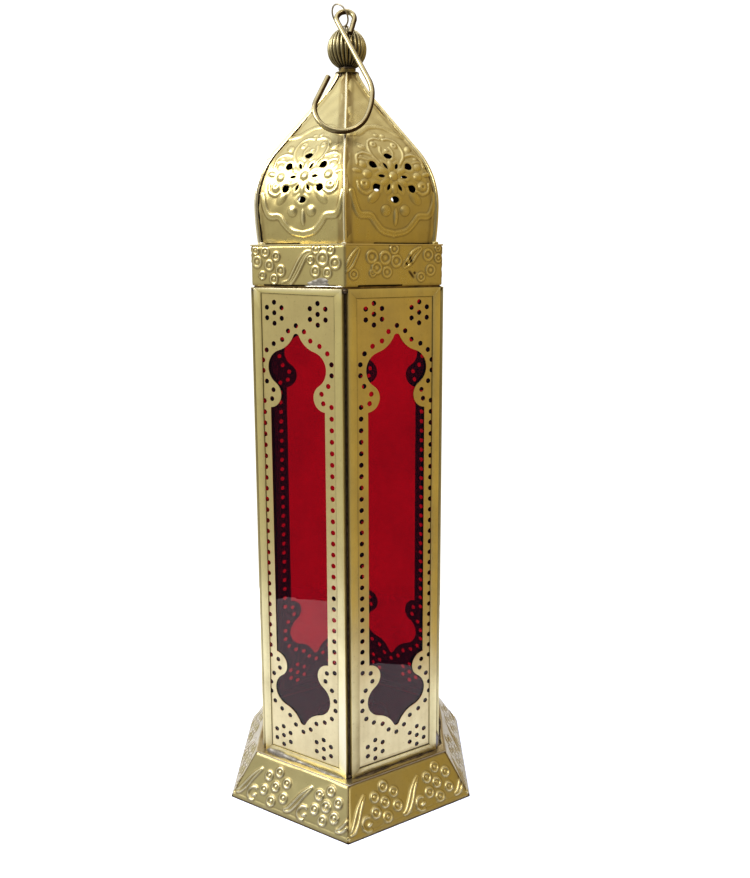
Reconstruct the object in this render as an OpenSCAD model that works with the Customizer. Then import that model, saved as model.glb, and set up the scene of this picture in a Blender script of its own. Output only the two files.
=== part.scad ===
// Six-sided sheet-brass lantern with red glass, pierced window frets, a pierced ogee dome and a wire hook.
// Origin: middle of the base's underside, on the surface that the lantern stands on. Z is up.
// One corner of the hexagon points to -Y. Side 1 is the one just right of that corner, and the sides count
// anticlockwise seen from above. Side 4, at the back, is the door.

/* [Sheet metal] */
// Thickness of the skirt, deck, band, cap and dome sheets
sheet_t = 0.6; // [0.4:0.05:0.9]
// Thickness of the channel that is folded round each window
frame_t = 0.5; // [0.3:0.05:0.8]
// Thickness of the pierced sheet in each window
fret_t = 0.4; // [0.3:0.05:0.6]
// Gap between two sheets that meet at a soldered corner
seam_gap = 0.2; // [0.1:0.05:0.4]

/* [Base] */
// Side of the hexagon round the foot of the skirt
skirt_side = 74.7; // [66:0.1:86]
// Side of the hexagon at the top of the skirt
deck_side = 59.6; // [58:0.1:64]
// Height of the skirt
skirt_h = 21.5; // [14:0.5:34]
// Height of the hem folded inside the foot of the skirt
hem_h = 3; // [2:0.5:5]

/* [Candle cup] */
// Radius of the drip pan
pan_r = 21; // [17:0.5:30]
// Height of the drip pan's rim
pan_h = 3.5; // [2:0.5:8]
// Radius of the candle that the socket takes
candle_r = 11; // [6:0.5:14]
// Clearance round the candle
candle_clear = 0.3; // [0.1:0.1:0.6]
// Height of the socket
socket_h = 14; // [8:0.5:20]

/* [Windows] */
// Side of the hexagon that the faces of the windows make
body_side = 55.5; // [50:0.5:58]
// Height of a window frame
frame_h = 250.6; // [200:0.2:300]
// Width of the channel's lip in front of the fret
lip_w = 4.3; // [3:0.1:5]
// Width of the channel's lip behind the glass
back_lip_w = 3; // [2:0.1:4]
// Thickness of the red glass
glass_t = 1.4; // [1:0.1:1.8]
// Spare depth in the channel
slot_clear = 0.1; // [0.05:0.05:0.2]
// Gap left between the inner edges of two neighbouring frames
frame_gap = 0.25; // [0.2:0.05:0.6]
// How far a fret can stand off the middle of its frame
fret_slack = 0.9; // [0.5:0.1:1.2]
// Gap above and below the sheets in the channel
end_clear = 0.2; // [0.1:0.1:0.5]

/* [Fret] */
// Diameter of the punched holes
punch_d = 2.5; // [1.6:0.1:2.9]
// Number of holes in a straight column between the two arches
column_n = 25; // [15:1:31]
// Distance of the columns from the middle of the fret
column_x = 20.15; // [19.5:0.05:20.6]
// Height of the first column hole above the end of the frame
column_y = 56.6; // [55:0.1:60]
// Sideways place of a rosette
rosette_x = 12.85; // [11:0.05:14]
// Height of a rosette above the end of the frame
rosette_y = 12.1; // [11:0.1:13]
// Radius of the ring of six holes in a rosette
rosette_r = 5.15; // [4.5:0.05:5.4]
// Half width of the window between the arches
window_x = 16.25; // [15:0.05:17]
// Radius of the ogee arcs that lead up to the tip
ogee_r = 13.9; // [13.5:0.1:14.1]
// Sideways place of the ogee arcs' middle
ogee_x = 14.2; // [14:0.1:14.5]
// Height of the ogee arcs' middle above the end of the frame
ogee_y = 17.1; // [16.5:0.1:17.6]
// Radius that rounds the tip
tip_r = 1.75; // [1.2:0.05:2]
// Sideways place of the bulging arcs' middle
bulge_x = 8.2; // [7.8:0.1:8.6]
// Height of the bulging arcs' middle above the end of the frame
bulge_y = 39.2; // [38.6:0.1:39.8]
// Sideways place of the round lobes' middle
lobe_x = 16.6; // [16.3:0.1:17]
// Height of the round lobes' middle above the end of the frame
lobe_y = 52.7; // [52:0.1:53.4]

/* [Crown] */
// Side of the hexagon of the crown plate on top of the windows
crown_side = 53.4; // [50:0.1:54.4]
// Width of the crown plate's folded edge
crown_fold_w = 7; // [5:0.5:9]
// Thickness of the crown plate's folded edge below the plate
crown_fold_t = 0.5; // [0.4:0.05:0.8]
// Radius of the smoke hole in the crown plate and the cap plate
vent_r = 33; // [20:1:36]
// Side of the hexagon of the embossed band
band_side = 54.5; // [54:0.1:55.2]
// Height of the embossed band
band_h = 19.3; // [12:0.1:30]
// Side of the hexagon of the cap plate on the band
rim_side = 55; // [54.8:0.1:57]

/* [Dome] */
// Distance of the dome's widest line from the axis, in the middle of a side
dome_a = 44.5; // [43:0.1:45]
// Height of the widest line above the dome's foot
belly_h = 18.4; // [12:0.2:20]
// Radius of the nearly upright part below the widest line
foot_r = 130; // [120:5:300]
// Radius of the shoulder
shoulder_r = 42.5; // [40:0.5:44]
// Lean of the straight part, away from upright
roof_lean = 39.1; // [38:0.1:40]
// Distance of the neck's tip from the axis, in the middle of a side
neck_a = 4.5; // [4.2:0.1:5]
// Radius of the hollow curve at the neck
neck_r = 82; // [60:1:84]
// Turn of the hollow curve at the neck
neck_turn = 12.5; // [10:0.5:13]
// Width of the folded seam ribs
rib_w = 1.7; // [1.2:0.1:2.2]
// How far the seam ribs stand proud of the corners
rib_proud = 0.9; // [0.6:0.1:1.1]
// Gap under a seam rib
rib_clear = 0.05; // [0.02:0.01:0.2]
// Height of the middle of the pierced flower, measured along the dome from its foot
flower_t = 32; // [30:0.1:34]
// Distance of the six slits from the middle of the flower
slit_ring_r = 6.2; // [6:0.1:6.8]
// Length of a slit
slit_l = 3.8; // [3:0.1:4]
// Width of a slit
slit_w = 1.6; // [1.2:0.1:1.8]
// Distance of the six petals from the middle of the flower
petal_ring_r = 11.1; // [10.8:0.1:11.6]
// Length of a side petal
petal_l = 4.6; // [4:0.1:5]
// Width of a side petal
petal_w = 3.8; // [3:0.1:3.9]
// Length of the top and bottom petals, across the flower
oval_l = 4.8; // [4:0.1:5]
// Width of the top and bottom petals
oval_w = 3.2; // [2.6:0.1:3.6]
// Most that a flower stands off the middle of its side
flower_shift = 1.7; // [0:0.1:3]

/* [Finial] */
// Radius of the fluted ball
ball_r = 10.2; // [8:0.1:12]
// Number of flutes round the ball
flute_n = 26; // [16:2:30]
// Depth of a flute at the ball's widest line
flute_d = 0.9; // [0.5:0.05:1.1]
// Height of the neck collar
collar_h = 2.6; // [2:0.1:4]
// Radius of the collar's neck
collar_r = 4.2; // [3.8:0.1:5]
// Radius of the collar's flange
flange_r = 6; // [5.8:0.1:7]
// Depth that the ball sits in the collar
seat_d = 0.6; // [0.4:0.1:0.8]
// Radius of the stem that holds the ball down
stem_r = 0.9; // [0.7:0.05:1.2]
// Clearance round the stem
stem_clear = 0.05; // [0.02:0.01:0.1]
// Gap between the washer under the collar and the dome's sheets
washer_gap = 0.7; // [0.4:0.1:1.2]
// Thickness of the washer under the collar
washer_t = 0.8; // [0.5:0.1:1.2]

/* [Lifting loop] */
// Radius of the round wire loop on the ball, to the middle of the wire
loop_r = 5.4; // [5.3:0.1:5.9]
// Diameter of the loop's wire
loop_wire_d = 0.8; // [0.6:0.1:1]
// Turn of the loop's plane away from facing the front corner
loop_turn = 50; // [46:1:54]
// Lean of the loop towards the front
loop_lean = 30; // [27:0.2:32]
// Tilt of the loop to the left
loop_tilt = 14; // [11:1:18]
// Sideways place of the foot of the loop on the ball
loop_foot_x = -0.4; // [-1:0.1:0]
// Distance of the loop's foot in front of the ball's axis
loop_foot_y = 1.9; // [1.5:0.1:2.2]
// Height of the foot of the loop's wire above the ball
loop_foot_h = 0.7; // [0.6:0.05:1]

/* [Hook] */
// Diameter of the hook's wire
hook_wire_d = 2.6; // [2:0.1:2.8]
// Gap between the hook and the ball that it leans on
hook_clear = 0.12; // [0.05:0.01:0.3]
// Gap between the hook's bowl and the front seam of the dome
hook_rest = 0.12; // [0.05:0.01:0.3]
// Radius of the closed eye, to the middle of the wire
eye_r = 4.4; // [4.2:0.1:5]
// Sideways place of the eye's middle
eye_x = -0.4; // [-1:0.1:0]
// Place of the eye's middle along the hook, above the level of the ball's middle
eye_y = 8.4; // [8:0.1:9]
// Length of the wire's end beside the shank
nose_l = 8.1; // [5:0.1:8.4]
// Lean of the wire's end
nose_a = 13; // [12:0.1:16]
// Lean of the shank
shank_a = 24.1; // [22:0.1:25]
// Length of the straight shank
shank_l = 38.1; // [36:0.1:39]
// Radius of the bend below the shank
bend_r = 19.4; // [18:0.1:24]
// Radius of the side of the bowl
side_r = 34.1; // [30:0.1:38]
// Turn of the side of the bowl
side_turn = 23.4; // [20:0.1:26]
// Radius of the hook's bowl
bowl_r = 12.9; // [11:0.1:13.5]
// Turn of the hook's bowl
bowl_turn = 178.4; // [170:0.2:185]
// Length of the straight end of the hook
tail_l = 14.5; // [10:0.1:18]

/* [Door] */
// Gap above and below the door
door_clear = 0.3; // [0.2:0.05:0.5]
// Radius of a hinge tube
tube_r = 1.4; // [1.2:0.05:1.6]
// Length of one hinge tube
tube_l = 5; // [4:0.5:8]
// Gap between two hinge tubes
tube_gap = 0.15; // [0.1:0.05:0.3]
// Distance of the hinge line outside the corner of the windows
hinge_out = 0.35; // [0.3:0.05:0.6]
// Height of the hinges as a share of the window's height, from each end
hinge_share = 0.16; // [0.1:0.01:0.3]
// Radius of a hinge pin
pin_r = 0.6; // [0.5:0.05:0.8]
// Clearance round a hinge pin
pin_clear = 0.05; // [0.02:0.01:0.1]
// Length of a pin's head past its tubes
pin_head_h = 0.6; // [0.4:0.1:1]
// Width of a hinge tab on the window's lip
tab_w = 3.6; // [3:0.1:4]
// Radius of the knob
knob_r = 2.6; // [2:0.1:3.2]
// Radius of the knob's foot
knob_foot_r = 1.9; // [1.4:0.1:2.1]
// Radius of the knob's stem
knob_stem_r = 0.9; // [0.8:0.1:1.2]
// Thickness of the knob's foot
knob_foot_t = 0.8; // [0.5:0.1:1.2]
// Distance of the knob's middle from the lip
knob_out = 4.4; // [4:0.1:6]
// Length of the turn button between its round ends' middles
button_l = 9; // [7:0.5:12]
// Width of the turn button
button_w = 5; // [4:0.2:6]
// Thickness of the turn button
button_t = 0.8; // [0.6:0.1:1.2]
// Gap between the turn button and the door
button_clear = 0.2; // [0.1:0.05:0.4]
// Height of the turn button's rivet above the band's foot
button_y = 4.5; // [4:0.1:6]
// Radius of the rivet
rivet_r = 1; // [0.8:0.05:1.2]
// Radius of the rivet's head and spacer
rivet_head_r = 2.2; // [1.8:0.1:2.4]
// Thickness of the rivet's head
rivet_head_t = 0.6; // [0.4:0.1:1]
// Gap under the rivet's head
rivet_clear = 0.08; // [0.05:0.01:0.15]

/* [Hidden] */

$fn = 48;
sides = 6;
side_turn_a = 360 / sides;
half_a = side_turn_a / 2;
door_side = 4;
// One overrun for every cut, and one reach past the whole lantern.
over = 1;
reach = skirt_side * 2;

// Where each fret stands in its frame and each flower on its gore, as shares of the slack and of the shift.
fret_share = [1, -0.4, 0.5, 0, 0.6, -1];
flower_share = [1, -0.5, 0.7, -0.3, 0.5, 1];

brass_pale = "#d9cf9b";
brass = "#b5954a";
brass_deep = "#9a7a30";
brass_old = "#6b5a33";
glass_red = "#a00a20";

// Distance from the axis to the middle of a hexagon's side.
function apothem(side) = side * cos(half_a);

deck_z = skirt_h + sheet_t;
frame_depth = 2 * frame_t + fret_t + glass_t + slot_clear;
// Two frames meet at a corner of the hexagon: their side walls close in on each other with depth.
corner_gap = (frame_depth + frame_gap) / (2 * cos(half_a));
frame_w = body_side - 2 * corner_gap;
face_a = apothem(body_side);
crown_z = deck_z + frame_h;
band_z = crown_z + crown_fold_t + sheet_t;
cap_z = band_z + band_h;
dome_z = cap_z + sheet_t;

// The dome's outline in the middle of a side, as [distance from the axis, height]:
// a nearly upright foot, a round shoulder, a straight roof and a hollow neck.
belly_z = dome_z + belly_h;
foot_c = [dome_a - foot_r, belly_z];
shoulder_c = [dome_a - shoulder_r, belly_z];
foot_turn = asin(belly_h / foot_r);
neck_lean = roof_lean - neck_turn;
hollow_out = neck_r * (cos(neck_lean) - cos(roof_lean));
roof_len = (shoulder_c[0] + shoulder_r * cos(roof_lean) - hollow_out - neck_a) / sin(roof_lean);
roof_p = shoulder_c + shoulder_r * [cos(roof_lean), sin(roof_lean)];
roof_dir = [-sin(roof_lean), cos(roof_lean)];
neck_p = roof_p + roof_len * roof_dir;
neck_c = neck_p + neck_r * [cos(roof_lean), sin(roof_lean)];
neck_top = neck_c - neck_r * [cos(neck_lean), sin(neck_lean)];

collar_z = neck_top[1];
ball_z = collar_z + collar_h - seat_d + ball_r;
ball_top_z = ball_z + ball_r;
washer_z = collar_z - washer_t;
washer_r = neck_a - sheet_t - washer_gap;

// The length along the outline from the foot to the belly, and the outline's place and lean at a length t above it.
belly_t = foot_r * foot_turn * PI / 180;
function shoulder_a(t) = (t - belly_t) / shoulder_r * 180 / PI;
function shoulder_p(t) = shoulder_c + shoulder_r * [cos(shoulder_a(t)), sin(shoulder_a(t))];

// Points and outward normals along the corner of the dome, from foot to neck.
function corner_point(p) = [p[0] / cos(half_a), p[1]];
function corner_normal(lean) = let (l = atan(tan(lean) / cos(half_a))) [cos(l), sin(l)];
arc_steps = 6;
shoulder_steps = 14;
corner_line = concat(
    [for (k = [0:arc_steps - 1]) let (a = -foot_turn * (1 - k / arc_steps))
        [corner_point(foot_c + foot_r * [cos(a), sin(a)]), corner_normal(a)]],
    [for (k = [0:shoulder_steps]) let (a = roof_lean * k / shoulder_steps)
        [corner_point(shoulder_c + shoulder_r * [cos(a), sin(a)]), corner_normal(a)]],
    [for (k = [0:arc_steps]) let (a = roof_lean - neck_turn * k / arc_steps)
        [corner_point(neck_c - neck_r * [cos(a), sin(a)]), corner_normal(a)]]);

// Turns what is drawn for a side facing -Y to side i.
module to_side(i) rotate([0, 0, half_a + side_turn_a * (i - 1)]) children();

// A frame on the face of side i: X to the right seen from outside, Y up from the deck, Z outwards.
module on_window(i) to_side(i) translate([0, -face_a, deck_z]) rotate([90, 0, 0]) children();

// The sixth of the lantern behind one side, less half of each seam gap.
module sector(height) translate([0, -seam_gap, 0]) linear_extrude(height)
    polygon([[0, 0], [-reach * sin(half_a), -reach * cos(half_a)], [reach * sin(half_a), -reach * cos(half_a)]]);

module hexagon(side, height) rotate([0, 0, half_a]) cylinder(r = side, h = height, $fn = sides);

// The skirt: a leaning sheet with its hem folded inside, trimmed level at foot and top.
module skirt_panel(i) color(brass) to_side(i) intersection() {
    sector(skirt_h);
    skirt_lean = atan((apothem(skirt_side) - apothem(deck_side)) / skirt_h);
    translate([0, -apothem(skirt_side), 0]) rotate([90, 0, 0]) rotate([-skirt_lean, 0, 0]) {
        translate([-skirt_side, -over, -sheet_t]) cube([2 * skirt_side, 2 * skirt_h, sheet_t]);
        translate([-skirt_side, -over, -2 * sheet_t]) cube([2 * skirt_side, hem_h + over, 2 * sheet_t]);
    }
}

// The deck that closes the skirt and carries the windows.
module floor_plate() color(brass_pale) translate([0, 0, skirt_h]) hexagon(deck_side, sheet_t);

// Drip pan and candle socket, spun in one.
module candle_cup() color(brass) translate([0, 0, deck_z]) rotate_extrude() {
    socket_r = candle_r + candle_clear;
    square([pan_r, sheet_t]);
    translate([pan_r - sheet_t, 0]) square([sheet_t, pan_h]);
    translate([socket_r, 0]) square([sheet_t, socket_h]);
    translate([pan_r - sheet_t / 2, pan_h]) circle(sheet_t);
}

module centred_box(w, h, z0, z1) translate([-w / 2, -h / 2, z0]) cube([w, h, z1 - z0]);

function is_door(i) = i == door_side;
function frame_height(i) = frame_h - (is_door(i) ? 2 * door_clear : 0);

// A channel folded round the fret and the glass.
module window_frame(i) color(brass_pale) on_window(i) translate([0, frame_h / 2, 0]) difference() {
    h = frame_height(i);
    centred_box(frame_w, h, -frame_depth, 0);
    centred_box(frame_w - 2 * frame_t, h - 2 * frame_t, frame_t - frame_depth, -frame_t);
    centred_box(frame_w - 2 * lip_w, h - 2 * lip_w, -frame_t - over, over);
    centred_box(frame_w - 2 * back_lip_w, h - 2 * back_lip_w, -frame_depth - over, frame_t - frame_depth + over);
}

sheet_w = frame_w - 2 * frame_t - 2 * fret_slack;
function sheet_height(i) = frame_height(i) - 2 * frame_t - 2 * end_clear;

// Holes that follow one end of the window, on its right half, from the tip to the column.
arch_holes = [[4.75, 20.75], [8.4, 25.1], [13.65, 27.4], [18.1, 30.75], [20.4, 35.9], [20.4, 41.2],
    [18.4, 46.5], [14.45, 50.6], [15.4, 55.2]];
apex_y = 18;

// The window's outline: ogee arcs, bulges and lobes that touch one another, and straight sides.
bulge_r = norm([ogee_x - bulge_x, ogee_y - bulge_y]) - ogee_r;
lobe_r = norm([lobe_x - bulge_x, lobe_y - bulge_y]) - bulge_r;
tip_y = ogee_y + sqrt(pow(ogee_r + tip_r, 2) - pow(ogee_x, 2));
tip_touch = [0, tip_y] + tip_r / (tip_r + ogee_r) * [ogee_x, ogee_y - tip_y];
ogee_touch = [ogee_x, ogee_y] + ogee_r / (ogee_r + bulge_r) * [bulge_x - ogee_x, bulge_y - ogee_y];
bulge_touch = [bulge_x, bulge_y] + bulge_r / (bulge_r + lobe_r) * [lobe_x - bulge_x, lobe_y - bulge_y];
corner_y = lobe_y + sqrt(pow(lobe_r, 2) - pow(lobe_x - window_x, 2));

module both_ways() {
    children();
    mirror([1, 0]) children();
}

// Drawn for the lower end, with Y from the end of the frame up to its middle.
module window_half() {
    difference() {
        union() {
            translate([0, tip_y]) circle(tip_r);
            both_ways() {
                polygon([[0, tip_y], tip_touch, ogee_touch, bulge_touch, [window_x, corner_y],
                    [window_x, frame_h / 2], [0, frame_h / 2]]);
                translate([bulge_x, bulge_y]) circle(bulge_r);
            }
        }
        both_ways() {
            translate([ogee_x, ogee_y]) circle(ogee_r);
            translate([lobe_x, lobe_y]) circle(lobe_r);
        }
    }
}

module punch() circle(d = punch_d, $fn = 24);

module arch_punches() {
    translate([0, apex_y]) punch();
    both_ways() {
        for (p = arch_holes) translate(p) punch();
        translate([rosette_x, rosette_y]) {
            punch();
            for (k = [0:5]) rotate(half_a + side_turn_a * k) translate([rosette_r, 0]) punch();
        }
    }
}

module fretwork(i) color(brass_pale) on_window(i)
    translate([fret_share[i - 1] * fret_slack, frame_h / 2, -frame_t - fret_t]) linear_extrude(fret_t) difference() {
        square([sheet_w, sheet_height(i)], center = true);
        for (end = [0, 1]) mirror([0, end]) translate([0, -frame_h / 2]) {
            window_half();
            arch_punches();
        }
        both_ways() for (k = [0:column_n - 1])
            translate([column_x, (frame_h / 2 - column_y) * (2 * k / (column_n - 1) - 1)]) punch();
    }

module red_glass(i) color(glass_red, 0.6) on_window(i) translate([0, frame_h / 2, 0])
    centred_box(sheet_w, sheet_height(i), -frame_t - fret_t - glass_t, -frame_t - fret_t);

// The crown plate lies on the windows. Its edge is folded under, and its middle lets the heat rise.
module crown_plate() color(brass_old) translate([0, 0, crown_z]) difference() {
    hexagon(crown_side, crown_fold_t + sheet_t);
    translate([0, 0, -over]) hexagon(crown_side - crown_fold_w, crown_fold_t + over);
    translate([0, 0, -over]) cylinder(r = vent_r, h = sheet_t + crown_fold_t + 2 * over);
}

module band_panel(i) color(brass) translate([0, 0, band_z]) to_side(i) intersection() {
    sector(band_h);
    translate([-band_side, -apothem(band_side), 0]) cube([2 * band_side, sheet_t, band_h]);
}

module cap_plate() color(brass_pale) translate([0, 0, cap_z]) difference() {
    hexagon(rim_side, sheet_t);
    translate([0, 0, -over]) cylinder(r = vent_r, h = sheet_t + 2 * over);
}

// Everything inside the dome's outline, drawn in by d.
module dome_inside(d) {
    roof_in = roof_p - d * [cos(roof_lean), sin(roof_lean)];
    neck_in = roof_in + roof_len * roof_dir;
    difference() {
        union() {
            intersection() {
                translate(foot_c) circle(foot_r - d, $fn = 360);
                translate([0, dome_z - over]) square([dome_a, belly_h + over]);
            }
            intersection() {
                translate(shoulder_c) circle(shoulder_r - d, $fn = 180);
                translate([0, belly_z]) square([dome_a, shoulder_r]);
            }
            polygon([[0, belly_z], roof_in, neck_in, [neck_in[0], neck_top[1] + over], [0, neck_top[1] + over]]);
        }
        translate(neck_c) circle(neck_r + d, $fn = 180);
    }
}

module dome_outline() difference() {
    dome_inside(0);
    dome_inside(sheet_t);
}

// A pointed oval.
module lens(l, w) {
    r = (l * l + w * w) / (4 * w);
    intersection() {
        translate([0, r - w / 2]) circle(r);
        translate([0, w / 2 - r]) circle(r);
    }
}

// A round petal with its point towards the middle of the flower. The point's sides meet the circle a little inside.
petal_root = 0.97;
module petal() {
    r = petal_w / 2;
    tip = petal_l - r;
    a = acos(r / tip);
    root = petal_root * r;
    translate([petal_l / 2 - r, 0]) {
        circle(r);
        polygon([[-tip, 0], root * [-cos(a), sin(a)], [0, 0], root * [-cos(a), -sin(a)]]);
    }
}

// Punches through the dome's sheet at a place of the flower: s to the right, and t along the outline.
module punch_dome(s, t) {
    lean = shoulder_a(t);
    p = shoulder_p(t);
    translate([s, -p[0], p[1]]) rotate([90, 0, 0]) rotate([-lean, 0, 0])
        translate([0, 0, -4 * sheet_t]) linear_extrude(8 * sheet_t) children();
}

module flower_punches() for (k = [0:sides - 1]) {
    slit_a = side_turn_a * k;
    petal_a = slit_a + half_a;
    punch_dome(slit_ring_r * cos(slit_a), flower_t + slit_ring_r * sin(slit_a)) rotate(slit_a) lens(slit_l, slit_w);
    punch_dome(petal_ring_r * cos(petal_a), flower_t + petal_ring_r * sin(petal_a))
        if (abs(cos(petal_a)) < 0.5) lens(oval_l, oval_w);
        else rotate(petal_a) petal();
}

module dome_gore(i) color(brass) to_side(i) difference() {
    intersection() {
        translate([-reach / 2, 0, 0]) rotate([90, 0, 90]) mirror([1, 0, 0]) linear_extrude(reach) dome_outline();
        translate([0, 0, dome_z]) sector(neck_top[1] - dome_z);
    }
    translate([flower_share[i - 1] * flower_shift, 0, 0]) flower_punches();
}

// A folded seam that caps the corner between two gores.
module dome_rib(i) color(brass_pale) rotate([0, 0, side_turn_a * (i - 1) - 90]) rotate([90, 0, 0])
    translate([0, 0, -rib_w / 2]) linear_extrude(rib_w) intersection() {
        polygon(concat([for (q = corner_line) q[0] + rib_clear * q[1]],
            [for (k = [len(corner_line) - 1:-1:0]) corner_line[k][0] + (rib_clear + rib_proud) * corner_line[k][1]]));
        translate([0, dome_z]) square([reach, neck_top[1] - dome_z]);
    }

// The spun collar sits on the tips of the gores and holds the ball in its hollow top.
module neck_collar() color(brass_old) difference() {
    translate([0, 0, collar_z]) rotate_extrude() {
        square([flange_r, sheet_t]);
        square([collar_r, collar_h]);
    }
    translate([0, 0, ball_z]) sphere(ball_r + stem_clear);
    translate([0, 0, collar_z - over]) cylinder(r = stem_r + stem_clear, h = collar_h + 2 * over);
}

module loop_washer() color(brass_old) translate([0, 0, washer_z]) difference() {
    cylinder(r = washer_r, h = washer_t);
    translate([0, 0, -over]) cylinder(r = stem_r + stem_clear, h = washer_t + 2 * over);
}

// The ball is a skin of rings from its top hole over the flutes to its bottom hole, closed by the bore's wall.
flute_steps = 4;
ring_steps = 14;
module fluted_ball() color(brass_old) translate([0, 0, ball_z]) {
    columns = flute_n * flute_steps;
    bore_r = stem_r + stem_clear;
    pole = asin(bore_r / ball_r);
    points = [for (j = [0:ring_steps]) let (polar = pole + (180 - 2 * pole) * j / ring_steps)
        for (k = [0:columns - 1]) let (
            a = 360 * k / columns,
            dip = flute_d * sin(polar) * (1 - abs(sin(a * flute_n / 2))),
            r = j == 0 || j == ring_steps ? ball_r : ball_r - dip)
            [r * sin(polar) * cos(a), r * sin(polar) * sin(a), r * cos(polar)]];
    rings = ring_steps + 1;
    faces = [for (j = [0:rings - 1]) for (k = [0:columns - 1]) let (
        a = j * columns + k,
        b = j * columns + (k + 1) % columns,
        c = ((j + 1) % rings) * columns + (k + 1) % columns,
        d = ((j + 1) % rings) * columns + k)
        each [[a, b, c], [a, c, d]]];
    polyhedron(points = points, faces = faces);
}

// A wire loop whose ends are twisted into a stem, which goes down through the ball to the washer.
loop_foot = [loop_foot_x, -loop_foot_y, ball_top_z + loop_foot_h];
twist_share = 1.25;
module lifting_loop() color(brass_old) {
    wire_r = loop_wire_d / 2;
    translate([0, 0, washer_z]) cylinder(r = stem_r, h = loop_foot[2] - washer_z);
    twist_l = norm([loop_foot_x, loop_foot_y]);
    translate([0, 0, loop_foot[2]]) rotate([0, 0, atan2(-loop_foot_y, loop_foot_x)]) rotate([0, 90, 0])
        cylinder(r = twist_share * wire_r, h = twist_l);
    translate(loop_foot) rotate([0, 0, -loop_turn]) rotate([90 + loop_lean, 0, 0]) rotate([0, 0, loop_tilt])
        translate([0, loop_r, 0]) rotate_extrude() translate([loop_r, 0]) circle(wire_r, $fn = 24);
}

// The hook's wire, drawn in its own plane: an eye, a long shank and an open bowl.
// Its stretches are a hair thicker and thinner by turns, and each thinner one ends inside its neighbours.
hook_r = hook_wire_d / 2;
thin = 0.02;
sunk = 0.2;
module wire_arc(c, r, a0, turn) translate(c) rotate([0, 0, a0]) rotate_extrude(angle = turn)
    translate([r, 0]) circle(hook_r, $fn = 24);
module thin_arc(c, r, a0, turn) translate(c) rotate([0, 0, a0 - sunk / r * 180 / PI])
    rotate_extrude(angle = turn + 2 * sunk / r * 180 / PI) translate([r, 0]) circle(hook_r - thin, $fn = 24);
module thin_rod(p, heading, start, l) translate(p) rotate([0, 0, heading]) rotate([0, 90, 0])
    translate([0, 0, -start]) cylinder(r = hook_r - thin, h = l + start, $fn = 24);
function along(heading) = [cos(heading), sin(heading)];

eye_c = [eye_x, eye_y];
shank_heading = shank_a - 90;
shank_p = eye_c + eye_r * along(180 + shank_a);
bend_p = shank_p + shank_l * along(shank_heading);
bend_c = bend_p - bend_r * along(shank_a);
side_p = bend_c + bend_r * along(0);
side_c = side_p - [side_r, 0];
bowl_p = side_c + side_r * along(-side_turn);
bowl_c = bowl_p - bowl_r * along(-side_turn);
tail_a = -side_turn - bowl_turn;
tail_p = bowl_c + bowl_r * along(tail_a);
nose_p = eye_c + eye_r * along(-nose_a);

// The hook leans until its bowl comes to rest on the straight part of the dome's front seam.
hook_out = ball_r + hook_r + hook_clear;
hook_down = bowl_r - bowl_c[1];
seam_lean = atan(tan(roof_lean) / cos(half_a));
seam_out = (corner_point(roof_p) - [0, ball_z]) * corner_normal(roof_lean) + rib_clear + rib_proud;
hook_lean = seam_lean + atan2(hook_down, hook_out)
    - acos((seam_out + hook_rest + hook_r) / norm([hook_out, hook_down]));

module hook_wire() {
    thin_rod(nose_p, -nose_a - 90, sunk, nose_l);
    wire_arc(eye_c, eye_r, -nose_a, 180 + nose_a + shank_a);
    thin_rod(shank_p, shank_heading, sunk, shank_l + sunk);
    wire_arc(bend_c, bend_r, 0, shank_a);
    thin_arc(side_c, side_r, -side_turn, side_turn);
    wire_arc(bowl_c, bowl_r, tail_a, bowl_turn);
    thin_rod(tail_p, tail_a - 90, sunk, tail_l);
}

module hanging_hook() color(brass_pale) translate([0, 0, ball_z]) rotate([90 - hook_lean, 0, 0])
    translate([0, 0, hook_out]) hook_wire();

// The hinge line stands just outside the corner between the door and the side to its left, seen from outside.
hinge_x = body_side / 2 + hinge_out * sin(half_a);
hinge_y = hinge_out * cos(half_a);
hinge_l = 3 * tube_l + 2 * tube_gap;
hinge_levels = [frame_h * hinge_share, frame_h * (1 - hinge_share)];

// A tube on the hinge line with a tab on the window's lip. Step 0, 1 or 2 is its place from the bottom up.
module hinge_tube(level, step) translate([0, level - hinge_l / 2 + step * (tube_l + tube_gap), 0]) difference() {
    union() {
        translate([-hinge_x, 0, hinge_y]) rotate([-90, 0, 0]) cylinder(r = tube_r, h = tube_l);
        translate([-hinge_x, 0, 0]) cube([hinge_x - frame_w / 2 + tab_w, tube_l, frame_t]);
    }
    translate([-hinge_x, -over, hinge_y]) rotate([-90, 0, 0]) cylinder(r = pin_r + pin_clear, h = tube_l + 2 * over);
}

module hinge_tubes_door() color(brass) on_window(door_side) for (level = hinge_levels) hinge_tube(level, 1);

module hinge_tubes_fixed() color(brass) on_window(door_side - 1) for (level = hinge_levels, step = [0, 2])
    mirror([1, 0, 0]) hinge_tube(level, step);

module hinge_pins() color(brass_old) on_window(door_side) for (level = hinge_levels)
    translate([-hinge_x, level - hinge_l / 2, hinge_y]) rotate([-90, 0, 0]) {
        cylinder(r = pin_r, h = hinge_l);
        translate([0, 0, hinge_l]) cylinder(r = tube_r - pin_clear, h = pin_head_h);
        translate([0, 0, -pin_head_h]) cylinder(r = tube_r - pin_clear, h = pin_head_h);
    }

// A small turned knob on the lip, at the door's free edge.
module door_knob() color(brass) on_window(door_side) translate([frame_w / 2 - lip_w / 2, frame_h / 2, 0]) {
    cylinder(r = knob_foot_r, h = knob_foot_t);
    cylinder(r = knob_stem_r, h = knob_out);
    translate([0, 0, knob_out]) sphere(knob_r);
}

// The turn button on the band, drawn unlatched: it lies along the band, and a quarter turn brings it over the door.
band_step = face_a - apothem(band_side);
module on_band(i) to_side(i) translate([0, -apothem(band_side), band_z]) rotate([90, 0, 0]) children();
button_z = band_step + button_clear;

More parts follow.
